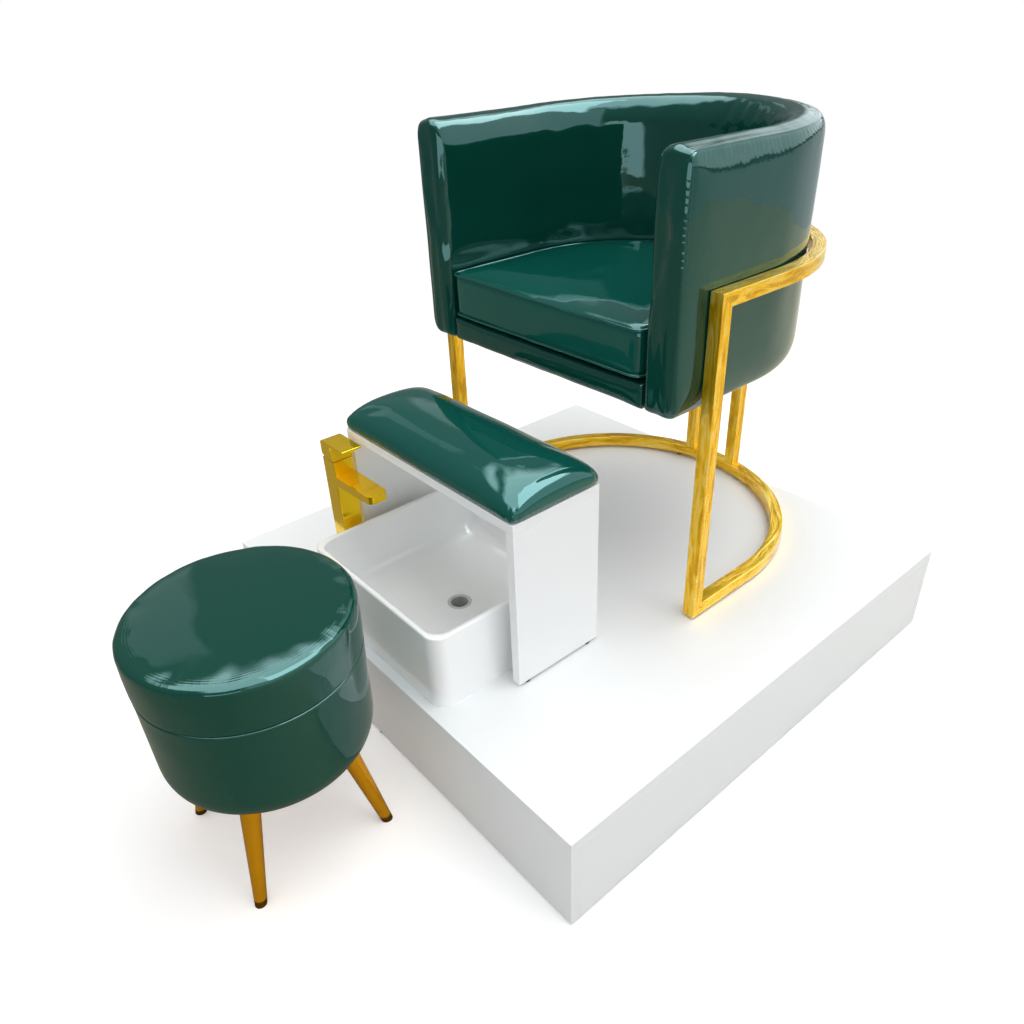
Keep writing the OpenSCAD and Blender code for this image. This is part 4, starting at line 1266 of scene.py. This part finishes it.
    def press_seams(self, obj: Piece) -> None:
        """Moves the shell's surface for seams, slack and folds, and marks the seams' relief."""
        points, normals = points_of(obj), normals_of(obj)
        offset, run = self.wall_places(points)
        height = points[:, 2]
        front = self.front_share(points)
        top = ease_steps(height, self.arm_top - 0.032, self.arm_top - 0.014)
        edge = np.clip(np.maximum(top * ease_steps(normals[:, 2], 0.15, 0.45), front), 0, 1)
        outer = offset - self.outer_seam
        seam = band(outer, 0, self.seam_width) * edge
        ridge_at, ridge_height = self.inner_ridge
        shift = -self.seam_depth * seam + ridge_height * band(offset, ridge_at, self.ridge_width) * top
        inside = ease_steps(-offset, self.half - 0.020, self.half - 0.006)
        folds = np.sin(run * self.fold_rate + 3 * drift(points, 5, 8.2)) * band(run, *self.folds_at)
        shift += self.fold_depth * folds * ease_steps(height, *self.folds_height) * inside
        slack = np.sin(offset * self.slack_rate + 2.5 * drift(points * np.array([1, 1, 0.25]), 9, 4.4))
        below = ease_steps(self.arm_top - height, 0.02, 0.08)
        shift += self.slack_depth * slack * front * (1 - seam) * below
        shift += waves(points, *self.waves)
        rim = ease_steps(height, self.arm_top - 0.055, self.arm_top - 0.02)
        shift += waves(points, self.rim_waves) * rim
        shift *= ease_steps(height, self.low - 0.02, self.low + 0.03)
        push(obj, shift)
        under = np.maximum(self.arm_top - 0.008 + self.back_rise - height, 0)
        shoulder = np.exp(-under / self.shoulder_fade) * ease_steps(outer, -0.001, 0.003) * (1 - front)
        lower = ease_steps(height, self.arm_top - 0.21, self.arm_top - 0.15)
        ticks = band(outer, 0, self.tick_width) * front * lower
        lines = np.exp(-np.abs(outer) / self.line_fade) * edge * (1 - 0.7 * front)
        mark(obj, seam_pull=1.3 * shoulder + ticks, seam_run=np.where(front > 0.5, height, run),
             seam_away=outer, seam_near=lines)

    def build_rail(self) -> None:
        """Bevels a long block, cuts it up, swells it and lets it wander."""
        cx, cy = self.centre
        front = cy - self.reach + self.rail_front + self.rail_in
        low, high = self.rail_z
        half = self.outer_r - self.wall - self.rail_gap
        obj = block("patent_front_rail", (cx, front + self.rail_depth / 2, (low + high) / 2),
                    (half, self.rail_depth / 2, (high - low) / 2))
        with editing(obj):
            for z, offset in zip(self.rail_z, self.rail_rounds):
                pick_vertices(obj, lambda co, z=z: co.y < front + CLOSE and abs(co.z - z) < CLOSE)
                bpy.ops.mesh.select_mode(type="EDGE")
                bpy.ops.mesh.bevel(offset=offset, segments=5, affect="EDGES")
                bpy.ops.mesh.select_mode(type="VERT")
            back = front + self.rail_depth
            wide, deep, tall = self.rail_cuts
            for plane, spread in (((1, 0, 0), np.linspace(cx - half, cx + half, wide)[1:-1]),
                                  ((0, 0, 1), np.linspace(low + 0.012, high - 0.009, tall)),
                                  ((0, 1, 0), np.linspace(front + 0.014, back, deep)[:-1])):
                for at in spread:
                    pick_all()
                    bpy.ops.mesh.bisect(plane_co=tuple(at * p for p in plane), plane_no=plane)
        face_outwards(obj)
        self.rail_swelling.run(obj, self.rail_held)
        points = points_of(obj)
        soft = ease_steps(-points[:, 1], -front - 0.03, -front - 0.01)
        shift = waves(points, *self.rail_waves) * soft
        push(obj, shift * ease_steps(half - np.abs(points[:, 0] - cx), 0.0, 0.02))
        smooth(obj, 60)
        finish_piece(obj, "station", SHADED_TUB_PATENT, ["front_rail"])

    def rail_held(self, points: Array) -> Array:
        """Holds the rail's ends, back, top and underside."""
        front = self.centre[1] - self.reach + self.rail_front
        half = self.outer_r - self.wall
        back = ease_steps(points[:, 1], front + 0.012, front + 0.022)
        ends = 1 - ease_steps(half - np.abs(points[:, 0] - self.centre[0]), 0.002, 0.014)
        return np.maximum(back, ends)


@dataclass
class SeatCushion:
    """Loose box cushion with piped edges, slightly sat-in."""

    centre: Pair = CHAIR_CENTRE
    half_w: float = 0.258
    reach: float = 0.243
    front_round: float = 0.018
    low: float = 0.669
    high: float = 0.763
    crown: float = 0.008
    cord: float = 0.0025
    welt: float = 0.0045
    welt_in: float = 0.00675
    sides: int = 144
    crown_reach: float = 0.16
    crown_power: float = 2.4
    sag: float = 0.0016
    sag_round: Pair = (0.12, 0.06)
    waves: Place = (0.0010, 7, 4.4)
    swelling: Swelling = Swelling(cap=0.007, relax=10)

    def build(self) -> None:
        """Builds the cushion and its two lines of piping."""
        self.build_body()
        for label, height in (("top", self.high - self.welt_in), ("low", self.low + self.welt_in)):
            self.build_piping(label, height)

    def plan(self, inset: float, steps: int = 72) -> Array:
        """The cushion's outline from above.

        Args:
            inset: how far it is drawn in.
            steps: points round the back.

        Returns:
            The closed outline, one row for each point.
        """
        r = self.half_w - inset
        corner = self.front_round
        front = -self.reach + inset
        points = [(r * math.cos(a), r * math.sin(a)) for a in np.linspace(0, math.pi, steps)]
        points += [(-r, y) for y in np.linspace(0, front + corner, 20)[1:]]
        points += [(-r + corner * (1 - math.cos(a)), front + corner * (1 - math.sin(a)))
                   for a in np.radians(np.linspace(0, 90, 8))[1:]]
        points += [(x, front) for x in np.linspace(-r + corner, r - corner, 44)[1:]]
        points += [(r - corner * (1 - math.sin(a)), front + corner * (1 - math.cos(a)))
                   for a in np.radians(np.linspace(0, 90, 8))[1:]]
        points += [(r, y) for y in np.linspace(front + corner, 0, 20)[1:-1]]
        return np.array(points) + np.array(self.centre)

    def build_body(self) -> None:
        """Extrudes a half-round block, crowns it and swells it."""
        cx, cy = self.centre
        radius = self.half_w - self.welt
        obj = new_primitive("patent_seat_cushion", bpy.ops.mesh.primitive_circle_add,
                            vertices=self.sides, radius=radius, fill_type="NGON",
                            location=(cx, cy, self.low + 0.001))
        front = cy - self.reach + self.welt
        with editing(obj):
            pick_all()
            bpy.ops.mesh.bisect(plane_co=(cx, cy, self.low), plane_no=(0, 1, 0), clear_inner=True)
            pick_vertices(obj, lambda co: co.y < cy + CLOSE)
            bpy.ops.mesh.extrude_region_move(TRANSFORM_OT_translate={"value": (0, front - cy, 0)})
            pick_vertices(obj, lambda co: co.y < front + CLOSE)
            bpy.ops.mesh.bevel(offset=self.front_round, segments=6, affect="VERTICES")
            pick_all()
            bpy.ops.mesh.extrude_region_move(
                TRANSFORM_OT_translate={"value": (0, 0, self.high - self.low - 0.003)})
        face_outwards(obj)
        apply(obj, "REMESH", mode="VOXEL", voxel_size=FIRST_VOXEL)
        points = points_of(obj)
        inside = np.clip(self.edge_distance(points) / self.crown_reach, 0, 1)
        inside = 1 - (1 - inside) ** self.crown_power
        points[:, 2] += self.crown * inside * ease_steps(points[:, 2], self.low + 0.03, self.high)
        move_points(obj, points)
        self.swelling.run(obj, self.held)
        self.sit_in(obj)
        smooth(obj)
        finish_piece(obj, "seat_cushion", LIT_SEAT_PATENT, ["seat_cushion"])

    def edge_distance(self, points: Array) -> Array:
        """How far in from the cushion's outline each point is."""
        x, y = points[:, 0] - self.centre[0], points[:, 1] - self.centre[1]
        return np.minimum(self.half_w - np.where(y > 0, np.hypot(x, y), np.abs(x)), y + self.reach)

    def held(self, points: Array) -> Array:
        """Holds the underside and both piped edges."""
        height = points[:, 2]
        rim = band(self.edge_distance(points), self.welt, 0.007)
        lines = (band(height, self.high - self.welt_in, 0.006)
                 + band(height, self.low + self.welt_in, 0.006))
        under = 1 - ease_steps(height, self.low + 0.002, self.low + 0.009)
        return np.clip(np.maximum(rim * lines, under), 0, 1)

    def sit_in(self, obj: Piece) -> None:
        """Lets the cushion's front edge sag a little and its top wave slowly."""
        points = points_of(obj)
        on_top = ease_steps(normals_of(obj)[:, 2], 0.4, 0.9)
        wide, deep = self.sag_round
        near = (band(points[:, 1], self.centre[1] - self.reach, deep)
                * band(points[:, 0], self.centre[0] + 0.02, wide))
        shift = waves(points, self.waves) - self.sag * near * on_top
        push(obj, shift * ease_steps(points[:, 2], self.low, self.low + 0.01))

    def build_piping(self, label: str, height: float) -> None:
        """Lays a corded edge round the cushion.

        Args:
            label: which edge it is.
            height: the height of its middle.
        """
        plan = self.plan(self.welt)
        path = np.column_stack([plan, np.full(len(plan), height)])
        front = band(path[:, 1], self.centre[1] - self.reach, 0.05)
        path[:, 2] -= 0.0022 * front * band(path[:, 0], self.centre[0] + 0.02, 0.11) * (label == "top")
        obj = piping(f"cushion_piping_{label}", path, self.cord, 0.0012, 2.0 if label == "top" else 9.0)
        finish_piece(obj, "seat_cushion", LIT_SEAT_PATENT)


@dataclass
class Stool:
    """Round padded stool: seat pad over a drum, with gold legs."""

    centre: Pair = (0.058, -0.757)
    side_r: float = 0.177
    top_r: float = 0.1755
    foot_r: float = 0.173
    low: float = 0.193
    seam_z: float = 0.380
    top_z: float = 0.467
    crown: float = 0.0045
    low_round: Pair = (0.031, 0.044)
    top_round: Pair = (0.013, 0.012)
    board_r: float = 0.138
    board_t: float = 0.015
    seam_gap: float = 0.00015
    start_in: float = 0.002
    turns: int = 128
    board_gap: float = 0.0003
    rings: tuple[float, ...] = (0.0, 0.04, 0.08, 0.12)
    last_ring_in: float = 0.02
    tuck: tuple[Pair, ...] = ((0.0010, 0.0), (0.0002, 0.0008), (0.0, 0.0025), (0.0, 0.006))
    roll_in: float = 0.004
    crown_power: float = 2.4
    seam_hold: float = 0.0045
    seam_fade: float = 0.004
    rim_band: Pair = (0.006, 0.010)
    wave_depths: tuple[float, ...] = (0.0011, 0.0004, 0.0007)
    swelling: Swelling = Swelling(cap=0.0014, voxel=0.0, relax=1, pressure=3.0)

    def build(self) -> None:
        """Builds the two covers and dresses the legs."""
        self.spin("patent_stool_drum", self.drum_profile(), "stool_drum", 12.1)
        self.spin("patent_stool_pad", self.pad_profile(), "stool_seat_pad", 7.7)
        keep(LEG_GOLD, "stool_leg_1", "stool_leg_2", "stool_leg_3", "stool_leg_4", "stool_leg_plates")
        keep(TIP_BRONZE, "stool_leg_tips")
        keep(PLAIN_WOOD, "stool_base_board")

    def seam_edge(self, way: int) -> list[Pair]:
        """A cover's flat face at the seam and its rounded edge, from the middle outwards.

        Args:
            way: 1 for the pad above the seam and -1 for the drum below it.

        Returns:
            The radius and height of the profile's points.
        """
        side, seam = self.side_r - self.start_in, self.seam_z + way * self.seam_gap
        face = [(r, seam) for r in (*self.rings, side - self.last_ring_in)]
        return face + [(side - inwards, seam + way * rise) for inwards, rise in self.tuck]

    def drum_profile(self) -> list[Pair]:
        """The drum's side from the recess for the base board up to the seam."""
        wide, rise = self.low_round
        side, foot = self.side_r - self.start_in, self.foot_r - self.start_in
        low, seam = self.low, self.seam_z - self.seam_gap
        recess = self.board_r + self.board_gap
        profile = [(r, low + self.board_t + self.board_gap) for r in (0.0, 0.05, 0.10, recess)]
        profile += [(recess, low + 0.001), (self.board_r + 0.002, low)]
        profile += [(foot - wide + wide * math.sin(a) + 0.001, low + rise * (1 - math.cos(a)))
                    for a in np.radians(np.linspace(0, 84, 9))]
        for z in np.linspace(low + rise + 0.004, seam - 0.012, 11):
            share = (z - low) / (seam - low)
            profile.append((foot + (side - foot) * share, z))
        return profile + self.seam_edge(-1)[::-1]

    def pad_profile(self) -> list[Pair]:
        """The seat pad's side from the seam over its rolled edge to the crown."""
        wide, drop = self.top_round
        side, top = self.side_r - self.start_in, self.top_z - self.start_in
        roll = self.top_r + self.roll_in - self.start_in
        profile = self.seam_edge(1)
        start = profile[-1][1]
        profile += [(side - (side - roll) * t, start + (top - drop - start) * t)
                    for t in np.linspace(0.2, 1.0, 6)]
        profile += [(roll - wide + wide * math.cos(a), top - drop + drop * math.sin(a))
                    for a in np.radians(np.linspace(14, 84, 6))]
        inner = roll - wide
        profile += [(inner * s, top + self.crown * (1 - s ** self.crown_power))
                    for s in (0.985, 0.95, 0.90, 0.83, 0.74, 0.63, 0.5, 0.36, 0.2)]
        profile.append((0.0, top + self.crown))
        return profile

    def held(self, points: Array) -> Array:
        """Holds the covers at the seam, at the foot and inside."""
        radius = np.hypot(points[:, 0] - self.centre[0], points[:, 1] - self.centre[1])
        seam = band(points[:, 2], self.seam_z, self.seam_hold)
        foot = 1 - ease_steps(points[:, 2], self.low + 0.003, self.low + 0.03)
        inside = (radius < self.side_r - 0.012) * (points[:, 2] < self.seam_z + 0.01)
        return np.clip(np.maximum(np.maximum(seam, foot), inside), 0, 1)

    def spin(self, name: str, profile: list[Pair], node: str, seed: float) -> None:
        """Spins a profile round the stool's axis, swells it and lets it wander.

        Args:
            name: the piece's name.
            profile: radius and height of its points.
            node: the CAD node that it stands for.
            seed: an offset for its waves.
        """
        cx, cy = self.centre
        mesh = bpy.data.meshes.new(name)
        mesh.from_pydata([(cx + r, cy, z) for r, z in profile],
                         [(i, i + 1) for i in range(len(profile) - 1)], [])
        obj = new_object(name, mesh)
        with editing(obj):
            pick_all()
            bpy.ops.mesh.spin(steps=self.turns, angle=FULL_TURN, center=(cx, cy, 0), axis=(0, 0, 1))
            pick_all()
            bpy.ops.mesh.remove_doubles(threshold=WELD)
            bpy.ops.mesh.normals_make_consistent(inside=False)
        self.swelling.run(obj, self.held)
        points = points_of(obj)
        height = points[:, 2]
        away = height - self.seam_z
        radius = np.hypot(points[:, 0] - cx, points[:, 1] - cy)
        turn = np.arctan2(points[:, 1] - cy, points[:, 0] - cx)
        rim = band(height, self.top_z - self.rim_band[0], self.rim_band[1])
        rim *= ease_steps(radius, self.top_r - 0.03, self.top_r - 0.01)
        slow, quick, fine = self.wave_depths
        shift = waves(points, (slow, 6, seed), (quick, 17, seed + 3))
        shift += waves(points, (fine, 42, seed + 5)) * rim
        above_foot = ease_steps(height, self.low + 0.01, self.low + 0.03)
        push(obj, shift * (ease_steps(np.abs(away), 0.001, 0.012) * above_foot))
        on_side = ease_steps(radius, self.side_r - 0.012, self.side_r - 0.006)
        near = np.exp(-np.abs(away) / self.seam_fade) * on_side
        mark(obj, seam_pull=0.12 * rim, seam_run=turn * self.side_r,
             seam_away=np.where(rim > near, radius - self.side_r, away),
             seam_near=np.maximum(near, 0.4 * rim))
        smooth(obj, 60)
        finish_piece(obj, "stool", STOOL_PATENT, [node])


# Studio


@dataclass(frozen=True)
class Window:
    """A patch of the surroundings that only glossy surfaces mirror.

    Its turn from +Y towards +X, its height above the horizon and the width of its soft
    edges are in degrees.
    """

    turn: Pair
    height: Pair
    level: float
    soft: Pair = (2.0, 2.0)


WINDOWS = (
    Window((-190, 190), (50, 100), 5.0, (1.0, 5.0)),
    Window((-4, 96), (41, 100), 9.5, (4.0, 2.0)),
    Window((-30, 118), (3, 46), 1.6, (4.0, 0.8)),
    Window((119, 151), (-13, 9), 2.8, (1.5, 1.0)),
    Window((-90, -78), (19, 43), 0.70, (1.0, 2.0)),
    Window((-77, -52), (16, 41), 0.30, (1.5, 2.0)),
    Window((-60, -50), (18, 33), 0.75, (1.5, 2.0)),
    Window((-53, -47), (42, 46), 1.4, (1.0, 1.0)))


@dataclass(frozen=True)
class Lamp:
    """A square lamp: its place, the point that it faces, its side and its power in watts."""

    name: str
    place: Place
    aim: Place
    size: float
    power: float


LAMPS = (
    Lamp("key", (-1.4, -2.4, 3.0), (0.0, -0.1, 0.4), 2.4, 8),
    Lamp("side", (2.8, 0.6, 2.4), (0.0, 0.0, 0.5), 1.6, 7),
    Lamp("top", (0.7, 0.4, 3.4), (0.0, -0.1, 0.3), 3.0, 54))


@dataclass
class Studio:
    """Pale floor, white surroundings, soft lamps and the photograph's viewpoint."""

    camera_place: Place = (1.0733, -1.0507, 1.2087)
    azimuth: float = 50.433
    elevation: float = 31.454
    roll: float = -2.468
    lens: float = 28.737
    shift: Pair = (-0.0039, -0.00195)
    floor_half: float = 4.2
    floor_grey: Colour = (0.93, 0.93, 0.93)
    floor_fade: Pair = (1.3, 3.2)
    ambient: float = 0.75
    sky_tint: Colour = (0.92, 1.03, 1.06)
    floor_tint: Colour = (1.08, 1.0, 0.78)
    mirrored_floor: Pair = (0.22, 0.76)
    floor_lift: float = 0.19
    floor_bounce: float = 0.6
    floor_run: Pair = (-0.5, 1.0)
    wall_height: Pair = (5, 45)
    wall_stray: float = 6.0
    mirrored_wall: Pair = (0.20, 0.34)

    def build(self) -> None:
        """Builds the camera, the surroundings, the floor and the lamps."""
        bpy.context.scene.view_settings.view_transform = "Standard"
        self.build_camera()
        self.build_world()
        self.build_floor()
        self.build_lamps()

    def build_camera(self) -> None:
        """Places the camera as measured from the photograph."""
        a, e, r = (math.radians(v) for v in (self.azimuth, self.elevation, self.roll))
        back = Vector((math.sin(a) * math.cos(e), -math.cos(a) * math.cos(e), math.sin(e)))
        right = Vector((math.cos(a), math.sin(a), 0))
        up = back.cross(right)
        turned_right = math.cos(r) * right + math.sin(r) * up
        turned_up = -math.sin(r) * right + math.cos(r) * up
        data = bpy.data.cameras.new("camera")
        data.lens = self.lens
        data.sensor_width = 36.0
        data.shift_x, data.shift_y = self.shift
        data.clip_start, data.clip_end = 0.05, 60
        camera = new_object("camera", data)
        turn = Matrix((turned_right, turned_up, back)).transposed()
        camera.matrix_world = Matrix.Translation(self.camera_place) @ turn.to_4x4()
        bpy.context.scene.camera = camera

    def build_world(self) -> None:
        """Lights the object evenly, shows white behind it, and gives its reflections dim surroundings
        with bright windows.
        """
        world = bpy.data.worlds.new("surroundings")
        bpy.context.scene.world = world
        graph = open_graph(world)
        path = graph.add("LightPath").outputs
        toward = graph.add("TexCoord").outputs["Generated"]
        studio = graph.scaled(self.sky_tint, self.mirrored_level(graph, toward))
        mirrored = graph.math("MAXIMUM", path["Is Glossy Ray"], path["Is Transmission Ray"])
        plain = graph.mix(mirrored, (self.ambient,) * 3, studio)
        colour = graph.mix(path["Is Camera Ray"], plain, WHITE)
        sky = graph.add("Background", {"Color": colour, "Strength": 1.0})
        graph.add("OutputWorld", {"Surface": sky.outputs["Background"]})

    def mirrored_level(self, graph: Graph, toward: Socket) -> Socket:
        """How bright the surroundings are in a reflection.

        Args:
            graph: the world's graph.
            toward: the direction.

        Returns:
            The level: a dim wall over a dim floor, with the windows in it.
        """
        parts = graph.add("SeparateXYZ", {"Vector": toward}).outputs
        turn = graph.times(graph.math("ARCTAN2", parts["X"], parts["Y"]), DEGREES)
        height = graph.times(graph.math("ARCSINE", parts["Z"]), DEGREES)
        stray = graph.minus(graph.noise(toward, 9.0, 3.0, 0.6), 0.5)
        height = graph.plus(height, graph.times(stray, self.wall_stray))
        wall = graph.span(height, *self.wall_height, *self.mirrored_wall)
        floor = self.floor_level(graph, parts["X"], parts["Y"])
        above = graph.span(height, -1, 1, 0, 1)
        level = graph.plus(graph.times(wall, above), graph.times(floor, graph.minus(1.0, above)))
        for window in WINDOWS:
            mask = window.level
            ranges = zip((turn, height), (window.turn, window.height), window.soft)
            for value, (low, high), soft in ranges:
                mask = graph.times(mask, graph.span(value, low - soft, low + soft, 0, 1))
                mask = graph.times(mask, graph.span(value, high - soft, high + soft, 1, 0))
            level = graph.math("MAXIMUM", level, mask)
        return level

    def floor_level(self, graph: Graph, x: Socket, y: Socket) -> Socket:
        """How bright the mirrored floor is: dim at the front left, paler at the back right."""
        along = graph.times(graph.plus(x, y), 0.7)
        return graph.span(along, *self.floor_run, *self.mirrored_floor)

    def build_floor(self) -> None:
        """Lays a pale floor that turns to plain white away from the object."""
        floor = new_primitive("studio_floor", bpy.ops.mesh.primitive_plane_add,
                              size=2 * self.floor_half, location=(0, 0, 0))
        material = bpy.data.materials.new("pale floor")
        graph = open_graph(material)
        where = graph.add("TexCoord").outputs["Object"]
        length = graph.add("VectorMath", operation="LENGTH")
        graph.feed(length.inputs[0], where)
        far = graph.span(length.outputs["Value"], *self.floor_fade, 0.0, 1.0)
        tone = graph.group(tone_drift(), {
            "Vector": where, "Colour": self.floor_grey, "Scale": 0.8, "Amount": 0.01})
        parts = graph.add("SeparateXYZ", {"Vector": where}).outputs
        tinted = graph.scaled(self.floor_tint, self.floor_level(graph, parts["X"], parts["Y"]))
        path = graph.add("LightPath").outputs
        base = graph.mix(path["Is Diffuse Ray"], tone["Colour"], (self.floor_bounce,) * 3)
        base = graph.mix(path["Is Glossy Ray"], base, tinted)
        matt = graph.add("BsdfPrincipled", {
            "Base Color": base, "Roughness": 0.7, "Specular IOR Level": 0.2}).outputs["BSDF"]
        glow, lift = (graph.add("Emission", {"Color": WHITE, "Strength": strength}).outputs["Emission"]
                      for strength in (1.0, self.floor_lift))
        near = graph.add("AddShader")
        graph.feed(near.inputs[0], matt)
        graph.feed(near.inputs[1], lift)
        fade = graph.mix_shaders(far, near.outputs[0], glow)
        choice = graph.mix_shaders(path["Is Camera Ray"], matt, fade)
        graph.add("OutputMaterial", {"Surface": choice})
        floor.data.materials.append(material)

    def build_lamps(self) -> None:
        """Hangs the soft square lamps, which glossy surfaces don't mirror."""
        for lamp in LAMPS:
            data = bpy.data.lights.new(lamp.name, "AREA")
            data.size = lamp.size
            data.energy = lamp.power
            obj = new_object(lamp.name, data)
            obj.location = lamp.place
            obj.visible_glossy = False
            toward = Vector(lamp.aim) - Vector(lamp.place)
            obj.rotation_euler = toward.to_track_quat("-Z", "Y").to_euler()


def main() -> None:
    """Builds every sub-assembly in order."""
    logging.basicConfig(level=logging.INFO, format="%(name)s: %(message)s")
    Studio().build()
    assemblies = (Platform(), Basin(), Tap(), Footrest(), ChairFrame(), Tub(), SeatCushion(), Stool())
    for assembly in assemblies:
        assembly.build()
        log.info("%s done", type(assembly).__name__)


if __name__ == "__main__":
    main()
